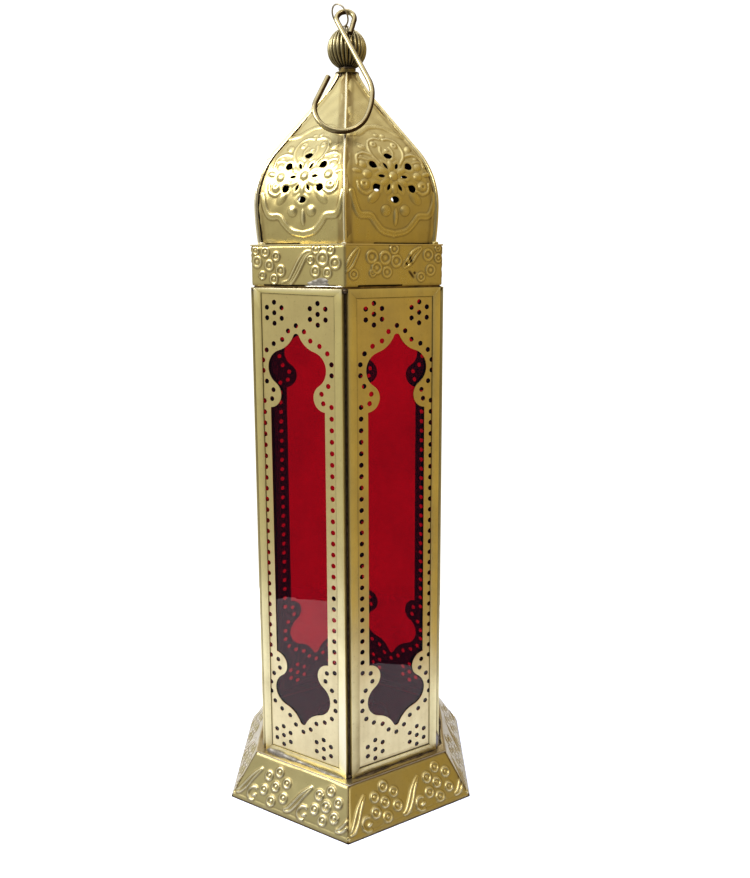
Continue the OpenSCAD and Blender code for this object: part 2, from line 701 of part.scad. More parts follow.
module turn_button() color(brass) on_band(door_side) translate([0, button_y, button_z]) difference() {
    union() {
        cylinder(r = button_w / 2, h = button_t);
        translate([0, -button_w / 2, 0]) cube([button_l, button_w, button_t]);
        translate([button_l, 0, 0]) cylinder(r = button_w / 2, h = button_t);
    }
    translate([0, 0, -over]) cylinder(r = rivet_r + pin_clear, h = button_t + 2 * over);
}

module button_rivet() color(brass_pale) on_band(door_side) translate([0, button_y, 0]) {
    cylinder(r = rivet_head_r, h = button_z - rivet_clear);
    cylinder(r = rivet_r, h = button_z + button_t + rivet_clear);
    translate([0, 0, button_z + button_t + rivet_clear]) cylinder(r = rivet_head_r, h = rivet_head_t);
}

for (i = [1:sides]) {
    skirt_panel(i);
    window_frame(i);
    fretwork(i);
    red_glass(i);
    band_panel(i);
    dome_gore(i);
    dome_rib(i);
}
floor_plate();
candle_cup();
crown_plate();
cap_plate();
neck_collar();
loop_washer();
fluted_ball();
lifting_loop();
hanging_hook();
hinge_tubes_fixed();
hinge_tubes_door();
hinge_pins();
door_knob();
turn_button();
button_rivet();
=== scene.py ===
"""Six-sided brass lantern with red glass: its looks, laid out as an add-on and run as a script."""

import math

import bmesh
import bpy
import numpy as np
from mathutils import Matrix, Vector, noise


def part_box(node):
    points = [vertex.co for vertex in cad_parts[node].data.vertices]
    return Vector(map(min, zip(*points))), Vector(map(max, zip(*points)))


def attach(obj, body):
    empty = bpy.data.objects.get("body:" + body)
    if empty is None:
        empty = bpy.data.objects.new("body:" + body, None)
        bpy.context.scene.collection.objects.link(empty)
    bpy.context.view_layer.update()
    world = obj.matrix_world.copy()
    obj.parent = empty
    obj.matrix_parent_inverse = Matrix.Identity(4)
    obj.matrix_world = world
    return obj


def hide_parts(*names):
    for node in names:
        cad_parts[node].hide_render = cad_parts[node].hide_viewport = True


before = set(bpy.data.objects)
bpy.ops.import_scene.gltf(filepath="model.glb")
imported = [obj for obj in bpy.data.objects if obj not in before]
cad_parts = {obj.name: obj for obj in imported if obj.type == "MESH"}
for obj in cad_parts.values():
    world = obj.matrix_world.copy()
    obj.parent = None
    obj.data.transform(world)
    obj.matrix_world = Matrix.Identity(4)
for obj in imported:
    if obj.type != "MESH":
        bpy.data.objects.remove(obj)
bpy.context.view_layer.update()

bl_info = {
    "name": "Pierced Brass Lantern",
    "version": (1, 0, 0),
    "blender": (4, 5, 0),
    "location": "3D View > Sidebar > Lantern",
    "description": "Embossed sheets, window channels, seams, solder and finishes of a six-sided lantern",
    "category": "Object",
}

MM = 0.001
SIDES = 6
HALF = math.pi / SIDES
# Sides and corners are numbered anticlockwise as seen from above. Corner 1 is in front and side 1 follows it.
SIDE_NUMBERS = range(1, SIDES + 1)
FRONT_RIGHT, RIGHT, DOOR_SIDE, FRONT_LEFT = 1, 2, 4, 6
FRONT_CORNER, RIGHT_CORNER, LEFT_CORNER = 1, 2, 6


def mm_box(node):
    """Lowest and highest corner of a node, in millimetres."""
    return [[c / MM for c in corner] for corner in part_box(node)]


# Where the pieces stand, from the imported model, in millimetres. _Z is a height, and _A is how far a side is
# from the axis.
(_, _, SKIRT_Z), (_, DECK_SIDE, DECK_Z) = mm_box("floor_plate")
CROWN_Z = mm_box("crown_plate")[0][2]
(_, _, BAND_Z), (BAND_A, _, BAND_TOP) = mm_box("band_panel_2")
FOOT_A = mm_box("skirt_panel_2")[1][0]
(FRAME_BACK, FRAME_LEFT, _), (WINDOW_A, FRAME_RIGHT, _) = mm_box("window_frame_2")
FRAME_W, FRAME_D = FRAME_RIGHT - FRAME_LEFT, WINDOW_A - FRAME_BACK
(_, _, DOOR_LOW), (_, _, DOOR_HIGH) = mm_box("window_frame_4")
CAP_A, _, DOME_Z = mm_box("cap_plate")[1]
NECK_Z = mm_box("neck_collar")[0][2]
(_, _, BALL_LOW), (BALL_R, _, BALL_TOP) = mm_box("fluted_ball")
DECK_A = DECK_SIDE * math.cos(HALF)
CORNER_R = WINDOW_A / math.cos(HALF)

SHEET_T, FRAME_T, SEAM_T = 0.6, 0.5, 0.35
# Half of the slit between two sheets.
SLIT = 0.12


def length(name, description, default, low, high):
    """A length that the user may change. Its values are given in millimetres here."""
    return bpy.props.FloatProperty(name=name, description=description, unit="LENGTH",
                                   default=default * MM, min=low * MM, max=high * MM)


def colour(name, description, default):
    """A colour that the user may change."""
    return bpy.props.FloatVectorProperty(name=name, description=description, subtype="COLOR", size=3,
                                         default=default, min=0.0, max=1.0)


class LanternSizes(bpy.types.PropertyGroup):
    """Sizes of the worked sheet"""

    emboss: length("Relief height", "Height of the rings and strokes on the skirt and the band",
                   0.6, 0.0, 1.0)
    dome_emboss: length("Dome relief height", "Height of the bosses on the dome", 0.78, 0.0, 1.4)
    ring_radius: length("Ring radius", "Radius of the ridge of an embossed ring", 2.1, 1.5, 2.6)
    grid_step: length("Relief step", "Distance between the points of an embossed sheet", 0.4, 0.3, 1.5)
    dent: length("Dents", "Depth of the hand-made unevenness of the sheets", 0.12, 0.0, 0.4)
    bead_width: length("Bead width", "Width of the rounded bead along a seam of the dome", 2.2, 1.4, 2.6)
    flange_width: length("Flange width", "Width of the flat flange beside the bead", 2.3, 0.5, 3.0)
    lip_width: length("Lip width", "Width of the window channel's front lip", 4.3, 3.0, 5.0)
    solder_size: length("Solder size", "Usual thickness of the solder in a corner", 0.9, 0.3, 1.6)


class LanternColours(bpy.types.PropertyGroup):
    """Colours of the metals and the glass"""

    sheet: colour("Embossed brass", "Bright colour of the embossed sheets", (0.73, 0.635, 0.32))
    pale: colour("Pale brass", "Colour of the frets, plates and seams", (0.80, 0.69, 0.36))
    channel: colour("Channel brass", "Colour of the channels round the windows", (0.90, 0.80, 0.41))
    # The rubbed brass colour is also painted along plate rims and on the seams' beads as a highlight.
    polished_and_highlight: colour("Rubbed brass", "Colour of edges and beads that handling has rubbed bright",
                     (0.98, 0.91, 0.69))
    # The tarnish colour also paints the shade in hollows, gaps and corners.
    dull: colour("Tarnish", "Colour of the tarnish in the hollows", (0.20, 0.13, 0.045))
    old: colour("Old brass", "Colour of the inner plate, the washer and the hinge pins", (0.33, 0.24, 0.12))
    ball: colour("Ball brass", "Colour of the fluted ball's lobes", (0.465, 0.405, 0.222))
    wire: colour("Hook wire", "Colour of the hook's wire", (0.62, 0.535, 0.31))
    solder: colour("Solder", "Colour of the grey solder", (0.42, 0.40, 0.37))
    glass: colour("Red glass", "Colour that white light takes in one pane", (0.60, 0.02, 0.07))


def sizes():
    return bpy.context.scene.lantern_sizes


def colours():
    return bpy.context.scene.lantern_colours


# Selection, new pieces and placing


def clear_selection():
    if bpy.context.object and bpy.context.object.mode != "OBJECT":
        bpy.ops.object.mode_set(mode="OBJECT")
    for other in list(bpy.context.selected_objects):
        other.select_set(False)
    bpy.context.view_layer.objects.active = None


def make_active(obj):
    clear_selection()
    obj.select_set(True)
    bpy.context.view_layer.objects.active = obj


def add_piece(name, primitive, **settings):
    """A new object from one of the operators that add a primitive."""
    clear_selection()
    primitive(**settings)
    obj = bpy.context.object
    obj.name = obj.data.name = name
    return obj


def select_where(obj, kind, test):
    """Goes into edit mode, selects the edges or faces that pass the test, and says whether there are any."""
    make_active(obj)
    bpy.ops.object.mode_set(mode="EDIT")
    bpy.ops.mesh.select_mode(type=kind)
    bpy.ops.mesh.select_all(action="DESELECT")
    bm = bmesh.from_edit_mesh(obj.data)
    parts = list(bm.faces if kind == "FACE" else bm.edges)
    chosen = [bool(test(part)) for part in parts]
    for part, wanted in zip(parts, chosen):
        part.select_set(wanted)
    bmesh.update_edit_mesh(obj.data)
    return any(chosen)


def edge_span(edge):
    return edge.verts[1].co - edge.verts[0].co


def apply_modifier(obj, kind, name, **settings):
    make_active(obj)
    mod = obj.modifiers.new(name, kind)
    for key, value in settings.items():
        setattr(mod, key, value)
    bpy.ops.object.modifier_apply(modifier=mod.name)


def side_turn(i):
    return HALF + 2 * HALF * (i - 1)


def corner_turn(i):
    return side_turn(i) - HALF


def turned(points, angle):
    """Points drawn for a side or corner that faces -Y, turned about the axis."""
    c, s = math.cos(angle), math.sin(angle)
    x, y, z = points.T
    return np.stack([c * x - s * y, s * x + c * y, z], 1)


def mesh_points(mesh):
    flat = np.empty(len(mesh.vertices) * 3)
    mesh.vertices.foreach_get("co", flat)
    return flat.reshape(-1, 3)


def set_points(mesh, points):
    """Moves the mesh's points to places in millimetres."""
    mesh.vertices.foreach_set("co", (points * MM).astype(np.float32).ravel())
    mesh.update()


def finish_piece(obj, body, nodes, material, angle):
    obj.data.materials.clear()
    obj.data.materials.append(material)
    make_active(obj)
    bpy.ops.object.shade_smooth_by_angle(angle=math.radians(angle))
    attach(obj, body)
    if nodes:
        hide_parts(*nodes)
    obj.select_set(False)


# Relief on a sheet: every function takes flat arrays of places on the sheet, in millimetres.


PATH_STEPS = 6
LINE_TAPER, PAIR_TAPER, BOSS_POWER, RING_DOT = 0.35, 0.6, 1.15, 0.42
FAR = 1e9


def hill(distance, width):
    """1 at no distance, and falling off softly over about the width."""
    return np.exp(-(distance / width) ** 2)


def smooth_path(points):
    """A smooth curve through the points."""
    p = [np.array(q, float) for q in points]
    p = [2 * p[0] - p[1]] + p + [2 * p[-1] - p[-2]]
    out = []
    for a, b, c, d in zip(p, p[1:], p[2:], p[3:]):
        for f in (j / PATH_STEPS for j in range(PATH_STEPS)):
            out.append(0.5 * (2 * b + (c - a) * f + (2 * a - 5 * b + 4 * c - d) * f ** 2
                              + (3 * b - a - 3 * c + d) * f ** 3))
    return np.array(out + [p[-2]])


def path_distance(s, t, points):
    """Distance to the smooth path through the points, and the share of the path passed there."""
    path = smooth_path(points)
    best, share = np.full(len(s), FAR), np.zeros(len(s))
    count = len(path) - 1
    for k in range(count):
        a, d = path[k], path[k + 1] - path[k]
        f = np.clip(((s - a[0]) * d[0] + (t - a[1]) * d[1]) / max(d @ d, 1e-9), 0, 1)
        dist = np.hypot(s - a[0] - f * d[0], t - a[1] - f * d[1])
        near = dist < best
        best[near] = dist[near]
        share[near] = (k + f[near]) / count
    return best, share


def ridge(s, t, points, width, height, spread=0.0):
    """A raised line along a path, or a pair of lines when spread is their half distance in the middle."""
    dist, share = path_distance(s, t, points)
    if spread:
        dist = np.abs(dist - spread * np.sin(np.pi * np.clip(share, 0.02, 0.98)) ** PAIR_TAPER)
    return height * np.sin(np.pi * share) ** LINE_TAPER * hill(dist, width)


def raised_band(s, t, points, half, height):
    """A band along a path, with a flat top and soft edges."""
    soft = 0.7
    f = np.clip((half + soft - path_distance(s, t, points)[0]) / (2 * soft), 0, 1)
    return height * f * f * (3 - 2 * f)


def ring(s, t, centre, radius, width, height, dot):
    """A round ridge with a dot of its own height in the middle."""
    d = np.hypot(s - centre[0], t - centre[1])
    return height * hill(d - radius, width) + dot * hill(d, RING_DOT * radius)


def boss(s, t, centre, radii, turn, height):
    """A round or oval blister."""
    c, w = math.cos(turn), math.sin(turn)
    x, y = s - centre[0], t - centre[1]
    q = np.clip(((x * c + y * w) / radii[0]) ** 2 + ((y * c - x * w) / radii[1]) ** 2, 0, 1)
    return height * (1 - q) ** BOSS_POWER


def unevenness(s, t, seed, reach):
    """Slow waves of a sheet that was beaten and bent by hand."""
    rng = np.random.RandomState(seed)
    out = np.zeros(len(s))
    for _ in range(7):
        turn, phase = rng.uniform(0, 2 * np.pi, 2)
        wave = rng.uniform(0.35, 1.0) * reach
        out += np.sin(2 * np.pi * (s * math.cos(turn) + t * math.sin(turn)) / wave + phase)
    return out / 4.0


def near_place(rng, place, most):
    """A place moved by chance, as a tool held by hand lands."""
    return place[0] + rng.uniform(-most, most), place[1] + rng.uniform(-most, most)


# The skirt's pattern comes again at each pitch. Its rings' places are from the pattern's middle. The heights of
# the stroke and the bud are from the sheet's lower edge.
RING_PLACES = [(0, 0), (0.6, 7.4), (-5.6, 4.0), (6.2, 3.4), (-6.3, -3.0), (6.2, -3.5), (-0.4, -6.9)]
SKIRT_PITCH, SKIRT_PHASE, SKIRT_MIDDLE, SKIRT_REACH = 32.2, -12.1, 12.4, 34
SKIRT_STROKE = [(8.2, 3.6), (11.2, 4.9), (14.2, 8.8), (17.2, 13.6), (21.8, 19.0)]
BUD_PLACE, BUD_R = (-12.2, 5.7), 3.2
BUD_ARC = [math.radians(50 + 250 * k / 8) for k in range(9)]


def skirt_relief(s, t, seed):
    """Rosettes of rings, with a leaning leaf and a hook between them."""
    height = sizes().emboss / MM
    radius = sizes().ring_radius / MM
    rng = np.random.RandomState(seed)
    out = np.zeros(len(s))
    for k in range(-2, 3):
        base = SKIRT_PHASE + SKIRT_PITCH * k
        for x, y in RING_PLACES:
            c = near_place(rng, (base + x, SKIRT_MIDDLE + y), 0.3)
            if abs(c[0]) < SKIRT_REACH:
                r = radius * rng.uniform(0.92, 1.08)
                out = np.maximum(out, ring(s, t, c, r, 0.58, height * rng.uniform(0.7, 1.15), height * 0.8))
        stroke = [(base + x, y) for x, y in SKIRT_STROKE]
        bud = (base + BUD_PLACE[0], BUD_PLACE[1])
        hook = [(bud[0] + BUD_R * math.cos(a), bud[1] + BUD_R * math.sin(a)) for a in BUD_ARC]
        out = np.maximum(out, ridge(s, t, stroke, 0.62, height * 1.1, spread=1.15))
        out = np.maximum(out, ridge(s, t, hook, 0.65, height * 1.2))
        out = np.maximum(out, boss(s, t, (bud[0] + 0.8, bud[1] - 0.6), (1.8, 1.0), 0.3, height))
    return out


# The band's two patterns, from the middle of a sheet's lower edge: rings as (place, radius), and leaves.
BAND_RINGS = [
    [((-18.5, 16.2), 2.1), ((-12.0, 14.3), 1.9), ((-23.9, 11.4), 2.4), ((-16.4, 9.7), 2.2),
     ((-9.6, 7.3), 2.3), ((-20.8, 5.1), 1.7), ((-13.7, 3.0), 2.0), ((-24.6, 17.0), 1.8),
     ((15.0, 13.0), 2.9), ((21.9, 10.9), 2.5), ((17.7, 6.2), 2.0), ((10.9, 7.0), 2.2),
     ((11.2, 17.4), 2.0), ((19.4, 17.2), 1.9), ((8.2, 12.4), 1.6)],
    [((-12.6, 13.9), 2.6), ((-5.4, 13.2), 2.7), ((0.7, 11.7), 2.5), ((-10.1, 8.7), 2.4),
     ((-4.3, 6.6), 2.2), ((-0.5, 17.6), 2.1), ((-12.4, 6.3), 1.5), ((19.0, 14.7), 2.4),
     ((20.3, 7.2), 2.3), ((25.0, 13.2), 1.8), ((24.9, 18.0), 1.4), ((-22.4, 5.6), 2.0), ((15.0, 4.2), 1.9)],
]
BAND_LEAVES = [
    [[(-9.6, 1.2), (-4.4, 2.0), (-0.9, 6.2), (2.1, 11.0), (5.2, 15.0), (9.2, 16.4)]],
    [[(-28.4, 6.8), (-25.0, 9.6), (-22.6, 13.6), (-19.6, 18.0)],
     [(4.4, 8.6), (8.2, 11.6), (11.2, 15.4), (15.3, 18.4)]],
]
# Gouges that a slipped tool left on the sheets of the second pattern.
BAND_GOUGES = [[(8.2, 14.6), (8.9, 12.4), (9.9, 10.0)], [(5.8, 11.2), (7.6, 9.8)],
               [(7.6, 7.4), (9.4, 5.4), (11.2, 3.2)], [(10.6, 6.6), (12.0, 5.4)]]
USUAL_RING = 2.1


def band_relief(s, t, seed, kind):
    """Rings of several sizes in two groups, with a broad bent leaf between them."""
    height = sizes().emboss / MM
    share = sizes().ring_radius / MM / USUAL_RING
    rng = np.random.RandomState(seed)
    out = np.zeros(len(s))
    for place, radius in BAND_RINGS[kind]:
        c = near_place(rng, place, 0.15)
        high = height * rng.uniform(0.8, 1.1)
        out = np.maximum(out, ring(s, t, c, share * radius, 0.26 * radius, high, height * 0.75))
    for leaf in BAND_LEAVES[kind]:
        out = np.maximum(out, ridge(s, t, leaf, 0.62, height * 1.1, spread=1.5))
        out = np.maximum(out, ridge(s, t, leaf, 0.45, height * 0.6))
    return out


# The dome's flower: rings of slits and of petals, of which the two upright ones are ovals.
FLOWER_T = 32.0
SLIT_RING, SLIT_L, SLIT_W = 6.2, 3.8, 1.6
PETAL_RING, PETAL_L, PETAL_W = 11.1, 4.6, 3.8
OVAL_L, OVAL_W = 4.8, 3.2
# How far each gore's flower is off the middle.
FLOWER_SHIFT = [1.7, -0.85, 1.19, -0.51, 0.85, 1.7]


def lens_distance(x, y, long, wide):
    r = (long ** 2 + wide ** 2) / (4 * wide)
    return np.maximum(np.hypot(x, y - (r - wide / 2)), np.hypot(x, y + (r - wide / 2))) - r


def petal_distance(x, y):
    """A round end outwards and a point towards the flower's middle."""
    r = PETAL_W / 2
    h = PETAL_L - r
    px, py = np.abs(y), x + PETAL_L / 2
    b = -r / h
    a = math.sqrt(1 - b * b)
    k = a * py - b * px
    return np.where(k < 0, np.hypot(px, py), np.where(k > a * h, np.hypot(px, py - h) - r, px * a + py * b))


def flower_distance(s, t):
    """Signed distance to the nearest hole, from the flower's middle. It is negative inside a hole."""
    out = np.full(len(s), FAR)
    for k in range(2 * SIDES):
        petal = k % 2
        reach = PETAL_RING if petal else SLIT_RING
        c, w = math.cos(HALF * k), math.sin(HALF * k)
        x, y = s - reach * c, t - reach * w
        u, v = x * c + y * w, y * c - x * w
        if not petal:
            hole = lens_distance(u, v, SLIT_L, SLIT_W)
        elif abs(c) < 0.5:
            hole = lens_distance(x, y, OVAL_L, OVAL_W)
        else:
            hole = petal_distance(u, v)
        out = np.minimum(out, hole)
    return out


# Half of the dome's ornament, from the flower's middle: raised bands as (points, half width, height share).
DOME_BANDS = [
    ([(0, -27.2), (6.4, -25.7), (10.6, -22.0), (13.6, -18.8), (19.0, -18.3), (21.6, -14.4), (23.4, -8.0)],
     1.35, 0.62),
    ([(0, 30.4), (4.6, 29.6), (8.2, 27.2), (11.4, 24.9), (17.0, 24.0)], 1.2, 0.45),
    ([(5.8, 7.0), (8.6, 11.0), (9.3, 15.6), (7.9, 20.0), (4.2, 22.2), (1.0, 21.8)], 0.55, 0.6),
    ([(18.6, 6.0), (17.6, 10.4), (13.8, 12.4), (9.6, 11.4)], 0.6, 0.6),
    ([(12.2, -7.0), (15.4, -8.4), (18.8, -6.8), (19.6, -3.2)], 0.55, 0.55),
    ([(12.2, 7.6), (15.6, 8.7), (18.4, 8.0)], 0.45, 0.35),
    ([(2.6, 16.6), (3.4, 13.4), (1.6, 9.0)], 0.5, 0.35),
]
# Blisters as (place, radii, turn in degrees, height share). Those of the pits are pressed into the others.
DOME_BOSSES = [
    ((5.4, -16.1), (2.9, 2.8), 0, 1.0),
    ((11.4, -9.9), (4.4, 2.5), -45, 0.8),
    ((15.8, -4.6), (3.0, 2.6), 0, 0.8),
    ((13.7, 0.4), (2.6, 2.3), 0, 0.75),
    ((19.3, 1.9), (2.7, 1.4), 10, 0.6),
    ((15.2, 5.8), (2.4, 2.1), 20, 0.65),
    ((15.0, 10.2), (1.4, 1.0), 0, 0.35),
    ((13.0, 16.4), (2.7, 1.9), 45, 0.65),
    ((5.9, 18.2), (2.1, 2.3), 0, 0.65),
    ((1.9, 24.2), (1.5, 1.3), 0, 0.4),
]
DOME_PITS = [((16.2, -4.2), (1.1, 1.0), 0, -0.6), ((5.9, 18.0), (0.9, 0.8), 0, -0.35)]
DOME_MIDDLE = [
    ((0.3, 0.3), (2.7, 2.5), 0, 1.0),
    ((0.4, -19.2), (1.4, 4.4), 0, 0.75),
    ((0.4, 14.6), (1.4, 1.2), 0, 0.5),
]
# The blisters between the slits.
KNOT_RING, KNOT_RADII, KNOT_SHARE = 5.9, (3.4, 1.9), 0.62


def dome_relief(s, t, seed, struck):
    """Bands and blisters round the pierced flower, from the flower's middle."""
    height = sizes().dome_emboss / MM * struck
    rng = np.random.RandomState(seed)
    out = np.zeros(len(s))
    for points, half, share in DOME_BANDS:
        for sign in (-1, 1):
            off = rng.uniform(-0.35, 0.35, 2) if points[0][0] else (0, 0)
            line = [(sign * x + off[0], y + off[1]) for x, y in points]
            out = np.maximum(out, raised_band(s, t, line, half, share * height * rng.uniform(0.85, 1.1)))
    for group, joined in ((DOME_BOSSES, np.maximum), (DOME_PITS, np.add)):
        for place, radii, turn, share in group:
            for sign in (-1, 1):
                a = math.radians(turn) if sign > 0 else math.pi - math.radians(turn)
                c = near_place(rng, (sign * place[0], place[1]), 0.3)
                out = joined(out, boss(s, t, c, radii, a, share * height))
    for place, radii, turn, share in DOME_MIDDLE:
        out = np.maximum(out, boss(s, t, place, radii, math.radians(turn), share * height))
    for k in SIDE_NUMBERS:
        a = side_turn(k)
        knot = (KNOT_RING * math.cos(a), KNOT_RING * math.sin(a))
        out = np.maximum(out, boss(s, t, knot, KNOT_RADII, a, KNOT_SHARE * height))
    # The sheet curls up a little round each hole.
    return np.maximum(out, 0.2 * height * hill(flower_distance(s, t) - 0.9, 0.8))


# How hard each sheet was struck, as a share of the relief's height.
DOME_STRUCK = [0.72, 0.9, 0.8, 1.0, 0.85, 0.95]
SKIRT_STRUCK = [0.8, 0.6, 0.9, 1.0, 0.9, 1.0]
BAND_STRUCK = [0.65, 0.8, 0.9, 1.0, 0.9, 0.85]

# The dome's outline in the middle of a side, in millimetres: a foot and a shoulder that are arcs, a straight
# roof and a neck that is a hollow arc.
DOME_AX, NECK_AX = 44.5, 4.5
BELLY_Z = DOME_Z + 18.4
FOOT_R, SHOULDER_R, NECK_R = 130.0, 42.5, 82.0
ROOF_LEAN, NECK_TURN = math.radians(39.1), math.radians(12.5)
NECK_OUT = NECK_R * (math.cos(ROOF_LEAN - NECK_TURN) - math.cos(ROOF_LEAN))
ROOF_L = (DOME_AX - SHOULDER_R * (1 - math.cos(ROOF_LEAN)) - NECK_OUT - NECK_AX) / math.sin(ROOF_LEAN)
FOOT_L = FOOT_R * math.asin((BELLY_Z - DOME_Z) / FOOT_R)
SHOULDER_L, NECK_L = SHOULDER_R * ROOF_LEAN, NECK_R * NECK_TURN
OUTLINE_L = FOOT_L + SHOULDER_L + ROOF_L + NECK_L


def dome_outline(t):
    """Distance from the axis, height and lean of the outline at a length t from the dome's foot."""
    foot, shoulder = (t - FOOT_L) / FOOT_R, (t - FOOT_L) / SHOULDER_R
    up = t - FOOT_L - SHOULDER_L
    neck = ROOF_LEAN - (up - ROOF_L) / NECK_R
    c, w = math.cos(ROOF_LEAN), math.sin(ROOF_LEAN)
    roof_a, roof_z = DOME_AX + SHOULDER_R * (c - 1), BELLY_Z + SHOULDER_R * w
    neck_a, neck_z = roof_a - ROOF_L * w + NECK_R * c, roof_z + ROOF_L * c + NECK_R * w
    cases = [t < FOOT_L, t < FOOT_L + SHOULDER_L, t < OUTLINE_L - NECK_L]
    a = np.select(cases, [DOME_AX + FOOT_R * (np.cos(foot) - 1),
                          DOME_AX + SHOULDER_R * (np.cos(shoulder) - 1),
                          roof_a - w * up], neck_a - NECK_R * np.cos(neck))
    z = np.select(cases, [BELLY_Z + FOOT_R * np.sin(foot),
                          BELLY_Z + SHOULDER_R * np.sin(shoulder),
                          roof_z + c * up], neck_z - NECK_R * np.sin(neck))
    return a, z, np.select(cases, [foot, shoulder, np.full(len(t), ROOF_LEAN)], neck)


def sheet_grid(name, across, up):
    """A flat grid of about the right number of cells, to be bent to a sheet. Also says how many cells it has,
    and for each point how far across it is, from -1 to 1, and how far up the sheet."""
    step = sizes().grid_step / MM
    cells = (round(across / step), round(up / step))
    obj = add_piece(name, bpy.ops.mesh.primitive_grid_add,
                    x_subdivisions=cells[0], y_subdivisions=cells[1], size=2)
    co = mesh_points(obj.data)
    return obj, cells, co[:, 0], (co[:, 1] + 1) / 2 * up


def bend_sheet(obj, i, s, out, z):
    """Puts the points of a sheet on side i, from their places sideways, outwards and up."""
    set_points(obj.data, turned(np.stack([s, -out, z], 1), side_turn(i)))


def finish_sheet(obj, node, material):
    finish_piece(obj, "lantern", [node], material, 50)


# How strongly the tarnish and painted shade in hollows and the rubbed ridges show, and how bright a ridge may
# be.
HOLLOW_GAIN, RIDGE_GAIN, RIDGE_MOST = 9.0, 6.0, 0.7


def hollows(values, cells):
    """How dark the sheet is painted at each point of its grid: high beside the ridges, as tarnish and painted
    shade, and below zero on them, where they are rubbed.
    """
    field = values.reshape(cells[1] + 1, cells[0] + 1)
    wide = np.pad(field, 1, mode="edge")
    bend = (wide[2:, 1:-1] + wide[:-2, 1:-1] + wide[1:-1, 2:] + wide[1:-1, :-2] - 4 * field).ravel()
    return np.clip(bend * HOLLOW_GAIN, 0, 1) - np.clip(-bend * RIDGE_GAIN, 0, RIDGE_MOST)


# Stored values: below 0 the metal is rubbed bright, and on the seams' beads it is also painted brighter as a
# highlight; up to 1 it is tarnished, and beside ridges, along gaps and edges and under the ball it is painted
# darker as shade; beyond that it is black, as sooted metal and as painted black shadow in gaps.
RUBBED_AND_HIGHLIGHT, SOOT_AND_SHADOW = -1.0, 2.0


def store_grime_and_shade(mesh, values):
    """Keeps the tarnish, wear and painted light and shade of each point with the mesh."""
    layer = mesh.attributes.new("grime", "FLOAT", "POINT")
    layer.data.foreach_set("value", np.clip(values, RUBBED_AND_HIGHLIGHT, SOOT_AND_SHADOW).astype(np.float32))


def thicken(obj, thickness, inner_soot_and_shade=False):
    """Gives a sheet its thickness inwards, and blackens its inner face, as sooted by the candle and as painted
    shade inside the lantern.
    """
    outer = len(obj.data.vertices)
    apply_modifier(obj, "SOLIDIFY", "sheet", thickness=thickness * MM, offset=-1.0, use_rim=True)
    if inner_soot_and_shade:
        layer = obj.data.attributes["grime"]
        values = np.empty(len(obj.data.vertices), np.float32)
        layer.data.foreach_get("value", values)
        values[outer:] = SOOT_AND_SHADOW
        layer.data.foreach_set("value", values)


# Materials


class Tree:
    """Short names for adding and joining nodes. A value is a number, a colour or another node's socket."""

    def __init__(self, tree):
        self.tree = tree

    def node(self, kind, **settings):
        made = self.tree.nodes.new(kind)
        for key, value in settings.items():
            setattr(made, key, value)
        return made

    def join(self, value, socket):
        if isinstance(value, (int, float)):
            socket.default_value = value
        elif isinstance(value, tuple):
            socket.default_value = (*value, 1.0)
        else:
            self.tree.links.new(value, socket)

    def place(self, kind="Object"):
        return self.node("ShaderNodeTexCoord").outputs[kind]

    def axes(self, kind="Object"):
        made = self.node("ShaderNodeSeparateXYZ")
        self.join(self.place(kind), made.inputs[0])
        return made.outputs

    def along(self, kind, direction):
        """How far a place lies along a direction."""
        made = self.node("ShaderNodeVectorMath", operation="DOT_PRODUCT")
        self.join(self.place(kind), made.inputs[0])
        made.inputs[1].default_value = direction
        return made.outputs["Value"]

    def noise(self, vector, scale, detail, rough=0.55, stretch=None):
        made = self.node("ShaderNodeTexNoise")
        if stretch:
            mapping = self.node("ShaderNodeMapping")
            mapping.inputs["Scale"].default_value = stretch
            self.join(vector, mapping.inputs["Vector"])
            vector = mapping.outputs["Vector"]
        for key, value in (("Vector", vector), ("Scale", scale), ("Detail", detail), ("Roughness", rough)):
            self.join(value, made.inputs[key])
        return made.outputs["Fac"]

    def span(self, value, low, high, to_low=0.0, to_high=1.0):
        made = self.node("ShaderNodeMapRange", clamp=True)
        for socket, v in zip(made.inputs, (value, low, high, to_low, to_high)):
            self.join(v, socket)
        return made.outputs["Result"]

    def math(self, operation, a, b=0.0):
        made = self.node("ShaderNodeMath", operation=operation)
        self.join(a, made.inputs[0])
        self.join(b, made.inputs[1])
        return made.outputs[0]

    def add(self, a, b):
        return self.math("ADD", a, b)

    def times(self, a, b):
        return self.math("MULTIPLY", a, b)

    def most(self, a, b):
        return self.math("MAXIMUM", a, b)

    def mix(self, factor, a, b):
        made = self.node("ShaderNodeMix", data_type="RGBA", blend_type="MIX", clamp_factor=True)
        for slot, v in ((made.inputs[0], factor), (made.inputs[6], a), (made.inputs[7], b)):
            self.join(v, slot)
        return made.outputs[2]

    def bumps(self, height, strength, distance, shader):
        made = self.node("ShaderNodeBump")
        for key, value in (("Strength", strength), ("Distance", distance), ("Height", height)):
            self.join(value, made.inputs[key])
        self.join(made.outputs["Normal"], shader.inputs["Normal"])


def new_material(name):
    """A material with its shader and a tree to add to."""
    mat = bpy.data.materials.new(name)
    mat.use_nodes = True
    return mat, mat.node_tree.nodes["Principled BSDF"], Tree(mat.node_tree)


SKIN_NAME = "tarnished_sheet"
SKIN_INPUTS = (
    ("Clean", "NodeSocketColor", (0.7, 0.55, 0.25, 1)), ("Dull", "NodeSocketColor", (0.2, 0.13, 0.05, 1)),
    ("Hollow", "NodeSocketFloat", 0.0), ("Cloud Size", "NodeSocketFloat", 45.0),
    ("Tarnish", "NodeSocketFloat", 0.35), ("Smoothness", "NodeSocketFloat", 0.3),
)
SKIN_OUTPUTS = (("Color", "NodeSocketColor"), ("Roughness", "NodeSocketFloat"), ("Height", "NodeSocketFloat"))


